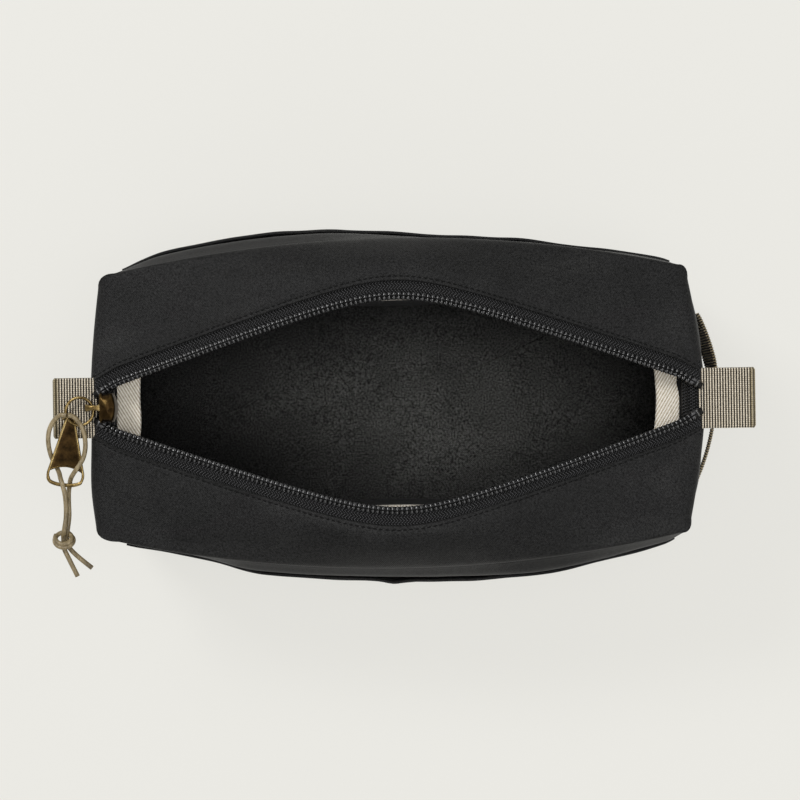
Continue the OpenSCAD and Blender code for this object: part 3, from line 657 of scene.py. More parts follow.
def makeShell():
    outline = bagOutline()
    seam, foot, cloth = bag["seamZ"], bag["footRound"], bag["cloth"]
    heights = []
    for k in range(7):  # the rounded foot of the wall
        a = math.pi / 2 * k / 6
        heights.append((foot - foot * math.cos(a), foot * (1 - math.sin(a))))
    heights += [(foot + (seam - 3.0 - foot) * i / 50, 0.0) for i in range(1, 51)]
    heights += [(seam - 2.2, 0.1), (seam - 1.5, 0.45), (seam - 1.1, 1.1), (seam - 0.95, 2.2), (seam - 0.95, 3.6)]
    scales = [0.06, 0.16, 0.28, 0.4, 0.52, 0.63, 0.73, 0.81, 0.88, 0.93, 0.965, 0.985]
    outer, inner, uvs = [], [], []
    along = 0.0
    previous = None
    for x, y, n, part in outline + outline[:1]:
        if previous is not None:
            along += math.hypot(x - previous[0], y - previous[1])
        previous = (x, y)
        rowOut, rowIn, rowUv = [], [], []
        footX, footY = x - n.x * foot, y - n.y * foot
        for k in scales:
            lift = 0.35 + 0.25 * ripple(footX * k, footY * k, 0, 40)
            rowOut.append((footX * k, footY * k, max(0.02, lift * (1 - k) * 0.6)))
            rowIn.append((footX * k, footY * k,
                          cloth + 0.5 + 0.9 * (1 + ripple(footX * k, footY * k, 0, 30, 2.2)) * (1 - k ** 6)))
            rowUv.append((footX * k, footY * k))
        for z, inset in heights:
            off = wallSwell(x, y, z, part) * smoothStep(0, 16, z) * smoothStep(seam, seam - 13, z) - inset
            down = endDrop(x, y, z)
            rowOut.append((x + n.x * off, y + n.y * off, z - down))
            back = off - cloth if z > foot else off - cloth * (0.6 + 0.4 * z / foot)
            lowest = z + cloth * max(0, 1 - z / foot)
            rowIn.append((x + n.x * back, y + n.y * back, (lowest if z < seam - 1.4 else z - cloth * 0.8) - down))
            rowUv.append((along, z))
        outer.append(rowOut)
        inner.append(rowIn)
        uvs.append(rowUv)
    rows = [a + b[::-1] for a, b in zip(outer, inner)]
    uvRows = [a + a[::-1] for a in uvs]
    mesh = gridMesh("bagShell", rows[:-1], uvRows, closeAlong=True)
    work = bmesh.new()
    work.from_mesh(mesh)
    layer = work.loops.layers.uv["UVMap"]
    count = len(rows[0])
    for column, turn in ((0, 1), (count - 1, -1)):  # close the middle of the base, outside and inside
        work.verts.ensure_lookup_table()
        ring = [work.verts[i * count + column] for i in range(len(rows) - 1)]
        centre = work.verts.new((0, 0, ring[0].co.z))
        for a, b in zip(ring, ring[1:] + ring[:1]):
            face = work.faces.new((a, centre, b) if turn > 0 else (b, centre, a))
            face.smooth = True
            for loop in face.loops:
                loop[layer].uv = (loop.vert.co.x / mm, loop.vert.co.y / mm)
    bmesh.ops.recalc_face_normals(work, faces=work.faces)
    work.to_mesh(mesh)
    work.free()
    mesh.materials.append(canvas)
    mesh.materials.append(shadedInnerCanvas)
    mesh.materials.append(paintedLightBaseCanvas)
    for polygon in mesh.polygons:
        onBase = polygon.center.z < 8 * mm and polygon.normal.z > 0.3
        inside = polygon.center.xy.dot(polygon.normal.xy) < 0
        polygon.material_index = 2 if onBase else int(inside)
    # painted light: a pool of light on the inside base, strongest a little right of the middle and fading towards the
    # walls
    paintedLightPool = mesh.attributes.new("paintedLightPool", "FLOAT", "POINT")
    for vertex, item in zip(mesh.vertices, paintedLightPool.data):
        x, y, z = vertex.co / mm
        item.value = math.exp(-((x - 22) / 78) ** 2 - ((y + 2) / 34) ** 2) if z < 10 else 0.0
    piece = newObject("bagShell", mesh)
    return finishPiece(piece, "bag", "cloth", "bottom_panel", "front_panel", "back_panel",
                       "left_end_panel", "right_end_panel")


makeShell()
print("bag shell made")

# Top panels

topPanel = {"sideRoll": 1.9, "endRoll": 4.4, "cloth": 0.8, "hem": 9.5, "foldThick": 1.5, "stitchIn": 1.7}


def panelEdge(y, turn, side):
    # The rounded end of a top panel, at that distance from the middle line.
    r = bag["cornerRound"]
    innerX = bag["cornerX"] - r
    topY = sideY(innerX)
    y = min(abs(y), topY)
    reach = endReach(min(y, topY - r) * side, turn)
    if y > topY - r:
        reach = innerX + (reach - innerX) * math.sqrt(max(0, 1 - ((y - topY + r) / r) ** 2))
    return reach


def panelArch(s, q, side):
    # The top panel's middle surface, a share q of the way from the long seam to the folded edge.
    innerX = bag["cornerX"] - bag["cornerRound"]
    w, f, up = sideY(s * innerX), foldY(s), rise(s)
    y = w + (f - w) * q
    t = q
    z = 2 * t * (1 - t) * up * 1.15 + t * t * up
    soft = math.sin(math.pi * min(1, q * 1.0)) ** 0.7
    z += soft * (0.9 * ripple(s * 120, y * side, 0, 42, 7.7) + 0.35 * ripple(s * 120, y * side, 0, 16, 2.9))
    z -= soft * 1.3 * smoothStep(0.55, 0.95, abs(s))
    return y, z


def panelPoint(s, q, side):
    y, z = panelArch(s, q, side)
    reach = panelEdge(y, s, side)
    x = s * reach
    edgeIn = (1 - abs(s)) * reach
    sideIn = sideY(x) - y if abs(x) < bag["cornerX"] - bag["cornerRound"] else 99
    drop = 0.0
    for d, r in ((edgeIn, topPanel["endRoll"]), (sideIn, topPanel["sideRoll"])):
        d = max(0.0, min(r, d))
        drop = max(drop, (r - math.sqrt(max(0, r * r - (r - d) ** 2))) * (1 if r < 3 else smoothStep(55, 50, y)))
    drop += 1.0 * (1 - smoothStep(0, 12, edgeIn))
    line = topPanel["stitchIn"]
    dip = 0.3 * math.exp(-((y - foldY(s) - line) / 0.55) ** 2)
    return x, y, bag["seamZ"] + 1.5 + z - drop - dip


def sideSamples():
    inner = spread(131, -0.955, 0.955)
    edge = [0.965, 0.974, 0.981, 0.986, 0.9895, 0.9925, 0.995, 0.9972, 0.999, 1.0]
    return [-e for e in edge[::-1]] + inner + edge


def makeTopPanel(name, side, node):
    outer, inner, uvs = [], [], []
    shares = [0, 0.004, 0.012, 0.024, 0.04, 0.07] + spread(30, 0.1, 0.9) + [0.92, 0.935, 0.95, 0.963, 0.975, 0.985,
            0.993]
    for s in sideSamples():
        f = foldY(s)
        rowOut = [panelPoint(s, q, side) for q in shares]
        x, _, z = panelPoint(s, 1.0, side)
        rowIn = []
        for px, py, pz in rowOut:
            thick = topPanel["cloth"] + (topPanel["foldThick"] - topPanel["cloth"]) \
                * smoothStep(f + topPanel["hem"] + 0.8, f + topPanel["hem"], py)
            rowIn.append((px * 0.9985, py if py < rowOut[0][1] - 0.6 else py - 0.7, pz - thick))
        nose = topPanel["foldThick"] / 2
        for a in (70, 35, 0, -35, -70):  # the folded edge is round
            turn = math.radians(a)
            rowOut.append((x, f + nose - nose * math.cos(turn) - 0.1, z - nose + nose * math.sin(turn)))
        outer.append([(p[0], p[1] * side, p[2]) for p in rowOut])
        inner.append([(p[0], p[1] * side, p[2]) for p in rowIn])
        uvs.append([(s * bag["endX"], p[1] * side) for p in rowOut])
    rows = [a + b[::-1] for a, b in zip(outer, inner)]
    uvRows = [a + [(p[0], p[1]) for p in b[::-1]] + a[:1] for a, b in zip(uvs, inner)]
    mesh = outward(gridMesh(name, rows, uvRows, closeAcross=True, capEnds=True))
    piece = newObject(name, mesh, canvas)
    return finishPiece(piece, "bag", "cloth", node)


makeTopPanel("topPanelBack", 1, "top_back_panel")
makeTopPanel("topPanelFront", -1, "top_front_panel")
print("top panels made")

# Repeated details


def pathTree(name, buildItem, material):
    # A node tree that sets one small item at each step of a curve, facing along it.
    tree = bpy.data.node_groups.new(name, "GeometryNodeTree")
    tree.interface.new_socket("Path", in_out="INPUT", socket_type="NodeSocketGeometry")
    tree.interface.new_socket("Pitch", in_out="INPUT", socket_type="NodeSocketFloat")
    tree.interface.new_socket("Result", in_out="OUTPUT", socket_type="NodeSocketGeometry")
    start = addNode(tree, "NodeGroupInput")
    steps = addNode(tree, "GeometryNodeResampleCurve", {"mode": "LENGTH"},
                    {"Curve": start.outputs["Path"], "Length": start.outputs["Pitch"]})
    tangent = addNode(tree, "GeometryNodeInputTangent")
    turn = addNode(tree, "FunctionNodeAxesToRotation", {"primary_axis": "X", "secondary_axis": "Z",
                                                        "Secondary Axis": (0, 0, 1)},
                   {"Primary Axis": tangent.outputs[0]})
    item = buildItem(tree)
    placed = addNode(tree, "GeometryNodeInstanceOnPoints", {},
                     {"Points": steps.outputs["Curve"], "Instance": item, "Rotation": turn.outputs[0]})
    real = addNode(tree, "GeometryNodeRealizeInstances", {}, {0: placed.outputs[0]})
    painted = addNode(tree, "GeometryNodeSetMaterial", {"Material": material}, {"Geometry": real.outputs[0]})
    addNode(tree, "NodeGroupOutput", {}, {0: painted.outputs[0]})
    return tree


def runTree(name, tree, paths, pitch, closed=False):
    # Runs a tree on a curve and keeps the plain mesh that it makes.
    source = newObject(name + "Path", curveThrough(name + "Path", paths, closed))
    modifier = source.modifiers.new(name, "NODES")
    modifier.node_group = tree
    for socket in tree.interface.items_tree:
        if socket.item_type == "SOCKET" and socket.name == "Pitch":
            modifier[socket.identifier] = pitch * mm
    bpy.context.view_layer.update()
    graph = bpy.context.evaluated_depsgraph_get()
    mesh = bpy.data.meshes.new_from_object(source.evaluated_get(graph), depsgraph=graph)
    mesh.name = name
    bpy.data.objects.remove(source)
    mesh.polygons.foreach_set("use_smooth", [True] * len(mesh.polygons))
    return newObject(name, mesh)


stitch = {"length": 1.75, "thickness": 0.62, "pitch": 2.5, "proud": 0.02}


def stitchItem(tree):
    ball = addNode(tree, "GeometryNodeMeshUVSphere", {"Segments": 8, "Rings": 6,
                                                      "Radius": stitch["thickness"] / 2 * mm})
    return addNode(tree, "GeometryNodeTransform",
                   {"Scale": (stitch["length"] / stitch["thickness"], 1,
                              0.8)}, {"Geometry": ball.outputs[0]}).outputs[0]


stitchTree = pathTree("stitchRow", stitchItem, threadPolyester)


def panelStitches():
    # Two rows of stitches beside the zip, one on each top panel.
    paths = []
    for side in (1, -1):
        path = []
        for s in spread(160, -0.985, 0.985):
            w, f = sideY(s * (bag["cornerX"] - bag["cornerRound"])), foldY(s)
            q = (f + topPanel["stitchIn"] - w) / (f - w)
            x, y, z = panelPoint(s, q, side)
            path.append((x, y * side, z + stitch["proud"]))
        paths.append(path)
    return paths


zipStitches = runTree("zipStitches", stitchTree, panelStitches(), stitch["pitch"])
finishPiece(zipStitches, "bag", "cloth")

coil = {"pitch": 2.0, "wire": 1.0, "width": 3.7, "height": 2.1, "turns": 18, "threads": (0.05,)}


def coilItem(tree):
    # One turn of the coil, a short helix of round wire.
    turn = addNode(tree, "GeometryNodeCurveSpiral",
                   {"Resolution": coil["turns"], "Rotations": 1.0, "Start Radius": 1.0, "End Radius": 1.0,
                    "Height": coil["pitch"] * mm})
    lying = addNode(tree, "GeometryNodeTransform",
                    {"Rotation": (0, math.radians(90), 0), "Scale": (1, 1, 1)}, {"Geometry": turn.outputs[0]})
    squeezed = addNode(tree, "GeometryNodeTransform",
                       {"Scale": (1, (coil["width"] - coil["wire"]) / 2 * mm,
                                  (coil["height"] - coil["wire"]) / 2 * mm)},
                       {"Geometry": lying.outputs[0]})
    # the upper leg lies square across the zip, and the lower one carries on to the next turn
    along = addNode(tree, "GeometryNodeSplineParameter").outputs["Factor"]
    before = addNode(tree, "ShaderNodeMapRange", {"From Min": 0.0, "From Max": 0.24,
                                                  "To Min": -coil["pitch"] / 2 * mm,
                                                  "To Max": 0.0}, {"Value": along})
    after = addNode(tree, "ShaderNodeMapRange", {"From Min": 0.76, "From Max": 1.0, "To Min": 0.0,
                                                 "To Max": coil["pitch"] / 2 * mm}, {"Value": along})
    place = addNode(tree, "ShaderNodeSeparateXYZ", {}, {0: addNode(tree, "GeometryNodeInputPosition").outputs[0]})
    shift = addNode(tree, "ShaderNodeMath", {"operation": "ADD"}, {0: before.outputs[0], 1: after.outputs[0]})
    moved = addNode(tree, "ShaderNodeCombineXYZ", {},
                    {"X": shift.outputs[0],
                     "Y": place.outputs["Y"], "Z": place.outputs["Z"]})
    squeezed = addNode(tree, "GeometryNodeSetPosition", {}, {"Geometry": squeezed.outputs[0],
                                                             "Position": moved.outputs[0]})
    wire = addNode(tree, "GeometryNodeCurvePrimitiveCircle", {"Resolution": 7, "Radius": coil["wire"] / 2 * mm})
    return addNode(tree, "GeometryNodeCurveToMesh", {}, {"Curve": squeezed.outputs[0],
                                                         "Profile Curve": wire.outputs[0]}).outputs[0]


def coilPath(side, limit=0.97):
    return [(s * bag["endX"], coilY(s) * side, bag["seamZ"] + rise(s) - 0.3 + coil["height"] / 2)
            for s in spread(240, -limit, limit)]


coilTree = pathTree("coilRow", coilItem, coilNylon)
for side, name, node in ((1, "zipCoilBack", "zipper_coil_back"), (-1, "zipCoilFront", "zipper_coil_front")):
    coilPiece = runTree(name, coilTree, [coilPath(side)], coil["pitch"])
    finishPiece(coilPiece, "bag", "coil", node)
print("zip coils and stitches made")

# Zip tape and coil cores

tape = {"thickness": 0.55, "hidden": 3.6}


def makeTape(name, side, node):
    rows, uvRows = [], []
    along, previous = 0.0, None
    for s in spread(200, -0.982, 0.982):
        y0, y1 = foldY(s) + tape["hidden"], coilY(s) - mouth["coilWidth"] / 2 + 0.2
        z = bag["seamZ"] + rise(s) - 0.32
        x = s * bag["endX"]
        if previous is not None:
            along += math.hypot(x - previous[0], y1 - previous[1])
        previous = (x, y1)
        across = [y0 + (y1 - y0) * k / 8 for k in range(9)]
        top = [(x, y * side, z - 0.12 * math.sin(math.pi * k / 8)) for k, y in enumerate(across)]
        bottom = [(x, y * side, z - tape["thickness"]) for y in across]
        rows.append(top + bottom[::-1])
        uvs = [(along, y - y1) for y in across]
        uvRows.append(uvs + uvs[::-1] + uvs[:1])
    mesh = outward(gridMesh(name, rows, uvRows, closeAcross=True, capEnds=True))
    return finishPiece(newObject(name, mesh, tapeWeave), "bag", "tape", node)


for side, name, node in ((1, "zipTapeBack", "zipper_tape_back"), (-1, "zipTapeFront", "zipper_tape_front")):
    makeTape(name, side, node)


def makeCoilThreads(name, side):
    # The sewing that holds a row of coil down, a line of thread along its back.
    paths = []
    for shift in coil["threads"]:
        paths.append([(x, y + shift * side, z + coil["height"] / 2 + 0.02) for x, y, z in coilPath(side, 0.965)])
    data = curveThrough(name, paths)
    data.bevel_depth = 0.3 * mm
    data.bevel_resolution = 2
    data.use_fill_caps = True
    return finishPiece(newObject(name, data, threadPolyester), "bag", "tape")


def makeCoilCore(name, side):
    # The cord inside a row of coil, which the sewing holds down.
    data = curveThrough(name, [coilPath(side, 0.965)[::2]])
    data.bevel_depth = 0.55 * mm
    data.bevel_resolution = 2
    data.use_fill_caps = True
    return finishPiece(newObject(name, data, tapeWeave), "bag", "tape")


makeCoilCore("coilCoreBack", 1)
makeCoilCore("coilCoreFront", -1)
makeCoilThreads("coilThreadBack", 1)
makeCoilThreads("coilThreadFront", -1)
print("zip tape made")

# Flat bands: pockets and bindings


def foldedBand(name, line, low, high, thick, material, lean=None, turnedEdge=0.0):
    # A cloth band along a line of (x, y, normal), standing from low to high, with a rounded top edge.
    rows, uvRows, along, previous = [], [], 0.0, None
    levels = spread(26, low, high - thick / 2)
    for x, y, n in line:
        if previous is not None:
            along += math.hypot(x - previous[0], y - previous[1])
        previous = (x, y)
        out, back, uvs = [], [], []
        for z in levels:
            k = lean(x, z) if lean else 0.0
            wide = thick * (1.5 if turnedEdge and z > high - turnedEdge else 1.0)
            out.append((x + n.x * (k + wide), y + n.y * (k + wide), z))
            back.append((x + n.x * k, y + n.y * k, z))
            uvs.append((along, z))
        k = lean(x, high) if lean else 0.0
        nose = []
        for a in (30, 60, 90, 120, 150):
            c = math.radians(a)
            wide = thick * (1.5 if turnedEdge else 1.0)
            nose.append((x + n.x * (k + wide / 2 * (1 + math.cos(c))), y + n.y * (k + wide / 2 * (1 + math.cos(c))),
                         high - thick / 2 + thick / 2 * math.sin(c)))
        row = out + nose + back[::-1]
        uvRow = uvs + [(along, high)] * 5 + uvs[::-1] + uvs[:1]
        rows.append(row)
        uvRows.append(uvRow)
    mesh = outward(gridMesh(name, rows, uvRows, closeAcross=True, capEnds=True))
    return newObject(name, mesh, material)


pocket = {"half": 117.0, "height": 86.0, "cloth": 0.9, "hem": 13.0}


def pocketLean(side):
    def lean(x, z):
        h = z / pocket["height"]
        centre, spreadOut, most = ((-52, 60, 0.6), (10, 66, 0.7))[0 if side > 0 else 1]
        gape = most * math.exp(-((x - centre) / spreadOut) ** 2) * (0.25 + 0.75 * h ** 1.5)
        belly = wallSwell(x, side * sideY(x), z, 0) * smoothStep(0, 16, z) * smoothStep(bag["seamZ"],
                bag["seamZ"] - 13, z)
        fade = smoothStep(pocket["half"], pocket["half"] - 9, abs(x))
        crease = 0.0 if side > 0 else 1.1 * math.exp(-((x + 3 - (pocket["height"] - z) * 0.5) / 4.5) ** 2) * h ** 3
        return belly + 0.25 + (gape + crease + 0.6 * ripple(x, 0, z, 22, 3.3 * side) * h) * fade
    return lean


def sideLine(side, half, count, inset=0.0):
    line = []
    for x in spread(count, -half, half):
        slope = -2 * (bag["midY"] - bag["cornerY"]) * x / bag["cornerX"] ** 2
        n = Vector((-slope, 1, 0)).normalized()
        line.append((x - n.x * inset, (sideY(x) - n.y * inset) * side, Vector((n.x, n.y * side, 0))))
    return line


for side, name, node in ((1, "outerPocketBack", "back_pocket"), (-1, "outerPocketFront", "front_pocket")):
    pocketPiece = foldedBand(name, sideLine(side, pocket["half"], 110), 4.0, pocket["height"], pocket["cloth"],
                             canvas,
                             pocketLean(side), pocket["hem"])
    finishPiece(pocketPiece, "bag", "cloth", node)

innerPocket = {"half": 100.0, "middle": 44.4, "end": 53.4, "top": 67.5, "bindingTop": 77.5, "cloth": 1.0,
               "binding": 1.5}


def innerLine(side, count):
    line = []
    for x in spread(count, -innerPocket["half"], innerPocket["half"]):
        k = (x / innerPocket["half"]) ** 2
        y = innerPocket["end"] + (innerPocket["middle"] - innerPocket["end"]) * (1 - k)
        y += 0.7 * ripple(x, side * 10, 0, 30, 9.0)
        line.append((x, y * side, Vector((0, side, 0))))
    return line


for side, name in ((1, "Back"), (-1, "Front")):
    node = "inner_pocket_" + name.lower()
    body = foldedBand("innerPocket" + name, innerLine(side, 90), 1.6, innerPocket["top"], innerPocket["cloth"],
                      shadedInnerCanvas)
    finishPiece(body, "bag", "cloth", node)
    edge = foldedBand("innerBinding" + name, innerLine(side, 90), innerPocket["top"], innerPocket["bindingTop"],
                      innerPocket["binding"], bindingTwill)
    finishPiece(edge, "bag", "binding", "inner_binding_" + name.lower())

endBinding = {"half": 26.0, "near": 8.0, "width": 10.5, "thickness": 1.5, "below": 12.5, "tilt": 1.2}


def makeEndBinding(name, turn, node):
    # The bound edge of an end's top seam, which lies flat below the zip.
    rows, uvRows = [], []
    for y in spread(60, -endBinding["half"], endBinding["half"]):
        x0 = endReach(y, turn) - 1.5 - endBinding["near"]
        wave = 0.5 * ripple(y, turn * 40, 0, 12, 6.0)
        z0 = bag["seamZ"] - endBinding["below"] + 0.5 * ripple(y, turn * 20, 0, 15, 4.0)
        top, bottom, uvs = [], [], []
        for k in range(13):
            a = k / 12
            x = x0 - endBinding["width"] * a + wave * (0.4 + 0.6 * a)
            round0 = math.sin(math.pi * min(1, max(0, a))) ** 0.35
            top.append((x * turn, y, z0 - endBinding["tilt"] * a + endBinding["thickness"] / 2 * round0))
            bottom.append((x * turn, y, z0 - endBinding["tilt"] * a - endBinding["thickness"] / 2 * round0))
            uvs.append((x, y))
        rows.append(top + bottom[1:-1][::-1])
        uvRows.append(uvs + uvs[1:-1][::-1] + uvs[:1])
    mesh = outward(gridMesh(name, rows, uvRows, closeAcross=True, capEnds=True))
    return finishPiece(newObject(name, mesh, bindingTwill), "bag", "binding", node)


def makeSeamAllowance(name, turn):
    # The turned-in cloth that the end binding covers.
    rows, uvRows = [], []
    for y in spread(30, -endBinding["half"], endBinding["half"]):
        x1 = endReach(y, turn) - 1.4
        x0 = x1 - endBinding["near"] - 2
        z1, z0 = bag["seamZ"] - 5.4, bag["seamZ"] - endBinding["below"]
        top = [((x1 + (x0 - x1) * k / 8) * turn, y,
                z1 + (z0 - z1) * math.sin(math.pi / 2 * k / 8) ** 0.8) for k in range(9)]
        rows.append(top + [(p[0], p[1], p[2] - 0.8) for p in top[::-1]])
        uvs = [(p[0], p[1]) for p in top]
        uvRows.append(uvs + uvs[::-1] + uvs[:1])
    mesh = outward(gridMesh(name, rows, uvRows, closeAcross=True, capEnds=True))
    return finishPiece(newObject(name, mesh, shadedInnerCanvas), "bag", "cloth")


for turn, name, node in ((1, "Right", "right_seam_binding"), (-1, "Left", "left_seam_binding")):
    makeEndBinding("endBinding" + name, turn, node)
    makeSeamAllowance("endAllowance" + name, turn)
seamBinding = {"in": 2.7, "low": 2.8, "high": 11.0, "thick": 1.2, "width": 9.0, "corner": 6.4}
reachX, reachY = bag["cornerX"] - 14, bag["cornerY"] - 14
for side, name in ((1, "Back"), (-1, "Front")):
    line = [(x, (sideY(x) - seamBinding["in"]) * side, Vector((0, side, 0))) for x in spread(60, -reachX, reachX)]
    band = foldedBand("baseBinding" + name, line, seamBinding["low"], seamBinding["high"], seamBinding["thick"],
                      bindingTwill)
    finishPiece(band, "bag", "binding", "base_seam_bindings")
for turn, name in ((1, "Right"), (-1, "Left")):
    line = [((endReach(y, turn) - seamBinding["in"]) * turn, y, Vector((turn, 0, 0))) for y in spread(30, -reachY,
            reachY)]
    band = foldedBand("baseBinding" + name, line, seamBinding["low"], seamBinding["high"], seamBinding["thick"],
                      bindingTwill)
    finishPiece(band, "bag", "binding", "base_seam_bindings")
    for side in (1, -1):
        x = endReach(side * (bag["cornerY"] - 5), turn) - seamBinding["corner"]
        y = sideY(x) - seamBinding["corner"]
        path = [(x * turn, y * side, z) for z in spread(24, 12, bag["seamZ"] - 16)]
        bar = sweep("cornerBinding" + name + ("Back" if side > 0 else "Front"), path, seamBinding["thick"],
                    seamBinding["width"], bindingTwill, up=(turn, side, 0))
        finishPiece(bar, "bag", "binding", "corner_seam_bindings")
print("pockets and bindings made")

# Webbing

strap = {"width": 25.4, "thickness": 1.5, "ribDepth": 0.16, "ribPitch": 1.15}


def webStrip(name, centre, material):
    # Flat webbing swept along centre, a list of (point, across, outward).
    rows, uvRows, shade = [], [], []
    along, previous = 0.0, None
    half, t = strap["width"] / 2, strap["thickness"] / 2
    for point, across, out, fold in centre:
        p = Vector(point)
        if previous is not None:
            along += (p - previous).length
        previous = p
        rib = strap["ribDepth"] * math.sin(2 * math.pi * along / strap["ribPitch"])
        top, bottom, uvs = [], [], []
        for k in range(25):
            a = -1 + 2 * k / 24
            edge = math.sqrt(max(0, 1 - max(0, (abs(a) - 0.965) / 0.035) ** 2))
            body = (t + rib) * (0.25 + 0.75 * edge)
            place = p + Vector(across) * (a * (half + 0.5 * rib))
            top.append(tuple(place + Vector(out) * body))
            bottom.append(tuple(place - Vector(out) * body))
            uvs.append((a * half, along))
        rows.append(top + bottom[::-1])
        uvRows.append(uvs + uvs[::-1] + uvs[:1])
        shade.extend([fold] * 50)
    mesh = outward(gridMesh(name, rows, uvRows, closeAcross=True, capEnds=True))
    attribute = mesh.attributes.new("foldShade", "FLOAT", "POINT")
    for item, value in zip(attribute.data, shade):
        item.value = value
    return newObject(name, mesh, material)


def makeWebTab(name, turn, node):
    # A loop of webbing folded at its far end, sewn in below the zip's end.
    low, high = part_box(node)
    near = min(abs(low[0]), abs(high[0])) / mm
    far = max(abs(low[0]), abs(high[0])) / mm
    zMid = (low[2] + high[2]) / 2 / mm
    lift = 1.3  # half the distance between the middles of the two layers
    near = bag["endX"] - 3.2
    path = []
    for x in spread(int((far - near - 3) / 0.2), near + 0.3, far - lift - strap["thickness"] / 2):
        path.append(((x, zMid + lift), (0, 1)))
    for a in spread(22, 90, -90)[1:-1]:
        c = math.radians(a)
        path.append(((far - lift - strap["thickness"] / 2 + lift * math.cos(c), zMid + lift * math.sin(c)),
                     (math.cos(c), math.sin(c))))
    for x in spread(int((far - near - 3) / 0.2), far - lift - strap["thickness"] / 2, near + 0.3):
        path.append(((x, zMid - lift), (0, -1)))
    centre = []
    for (x, z), (ox, oz) in path:
        # painted shade: browner towards the folded end
        fold = smoothStep(far - 2.6, far - 0.6, x + 0.8)
        centre.append(((x * turn, 0, z), (0, 1, 0), (ox * turn, 0, oz), fold))
    piece = webStrip(name, centre, webbing)
    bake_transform(piece)
    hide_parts(node)
    return piece


makeWebTab("webTabLeft", -1, "left_web_tab")
makeWebTab("webTabRight", 1, "right_web_tab")


def makeHandle():
    # The carry strap on the right end, on edge, with both ends lying flat against the end and sewn down.
    centre = [(endReach(y, 1) + handle["off"] + strapBow(y), y)
              for y in spread(420, handle["from"] - handle["foot"], handle["to"] + handle["foot"])]
    path = []
    for i, (x, y) in enumerate(centre):
        a, b = centre[max(0, i - 1)], centre[min(len(centre) - 1, i + 1)]
        direction = Vector((b[0] - a[0], b[1] - a[1])).normalized()
        lean = strapLean(y)
        flat = Vector((direction.y, -direction.x, 0))
        across = Vector((0, 0, 1)) * math.cos(lean) - flat * math.sin(lean)
        out = flat * math.cos(lean) + Vector((0, 0, 1)) * math.sin(lean)
        # painted shade: a little of the browner fold tone along the whole strap
        path.append(((x, y, handle["middle"]), tuple(across), tuple(out), 0.12))
    piece = webStrip("carryHandle", path, handleWebbingPaintedLight)
    return finishPiece(piece, "bag", "webbing", "handle_strap", "handle_feet")


makeHandle()
print("webbing made")

# Metal

slider = {"left": -125.0, "right": -118.0, "halfWidth": 6.4, "low": 102.6, "high": 118.6, "barWidth": 2.1}
ring = {"centre": (-133.47, -1.4, 112.8), "radius": 5.8, "wire": 0.62}
pullTab = {"eye": (-138.942, -3.327, 112.8), "top": (-137.4, -3.0), "low": 110.7, "thickness": 1.1, "turn": -6.0,
           "rim": 1.1, "footRim": 1.6, "plate": 0.6, "neck": 1.7, "footHalf": 7.85, "footAt": 25.8, "footEnd": 30.0,
           "slotTop": 24.0, "slotRise": 2.6, "eyeHole": 1.15, "eyeWall": 0.85}


def makeSlider():
    # The slider stands on its nose at the open end, so that its two plates show edge-on from above.
    half = [(-3.5, 0), (-3.5, -0.55), (-3.42, -0.9), (-3.1, -1.0), (-2.5, -1.0), (-2.1, -0.97), (-1.8, -0.93),
            (-0.9, -0.92),
            (0.2, -0.93), (0.95, -0.94), (1.25, -0.96), (1.7, -0.96), (2.3, -0.88), (2.85, -0.66), (3.25, -0.36)]
    loop = half + [(3.42, 0)] + [(x, -y) for x, y in half[:0:-1]]
    centreX = (slider["left"] + slider["right"]) / 2
    middle, tall = (slider["high"] + slider["low"]) / 2, (slider["high"] - slider["low"]) / 2
    rows, uvRows = [], []
    for t in [-1, -0.995, -0.97, -0.93, -0.86] + spread(9, -0.75, 0.75) + [0.84, 0.9, 0.94, 0.97, 0.99, 1]:
        wide = (1 - abs(t) ** 4.5) ** 0.45 * slider["halfWidth"] * (1 - 0.12 * smoothStep(0.0, -1.0, t)) + 0.05
        deep = (1 - abs(t) ** 9) ** 0.4 * 0.55 + 0.45
        row = [(centreX + p.x * deep, p.y * wide, middle + t * tall - 0.9 * (p.x / 3.5) ** 2 * (t > 0) * abs(t) ** 6)
               for p in roundTrip([(x, y, 0) for x, y in loop], 3)]
        rows.append(row)
        uvRows.append([(k * 0.3, t * tall) for k in range(len(row) + 1)])
    mesh = outward(gridMesh("sliderBody", rows, uvRows, closeAcross=True, capEnds=True))
    return finishPiece(newObject("sliderBody", mesh, shadedBrass), "slider", "brass", "slider_body")


def makeBridge():
    # The bridge that holds the ring, a bar bent out from the slider's plate and back.
    route = smoothPath([(-124.6, 0, 117.0), (-126.5, 0, 117.1), (-128.6, 0, 116.9), (-130.1, 0, 116.0),
                        (-130.5, 0, 114.2),
                        (-130.4, 0, 112.4), (-129.6, 0, 111.2), (-127.6, 0, 110.8), (-124.6, 0, 110.8)], 5)
    widths = [slider["barWidth"] + 1.0 * math.exp(-((p.x + 130.4) / 0.8) ** 2) + 0.7 * smoothStep(-126, -124.8, p.x)
              for p in route]
    return finishPiece(sweep("sliderBridge", route, 1.25, widths, antiqueBrass, up=(0, 1, 0)), "slider", "brass",
                       "slider_bridge")


def makeRing():
    x0, y0, z0 = ring["centre"]
    path = [(x0 + ring["radius"] * math.cos(a), y0 + ring["radius"] * math.sin(a), z0)
            for a in (2 * math.pi * k / 96 for k in range(96))]
    piece = sweep("pullRing", path, ring["wire"] * 2, ring["wire"] * 2, antiqueBrass, closed=True, corner=1.0)
    return finishPiece(piece, "ring", "brass", "pull_ring")


def tabPoint(across, down, z):
    x0, y0 = pullTab["top"]
    turn = math.radians(pullTab["turn"])
    return (x0 + across * math.cos(turn) + down * math.sin(turn),
            y0 + across * math.sin(turn) - down * math.cos(turn), z)


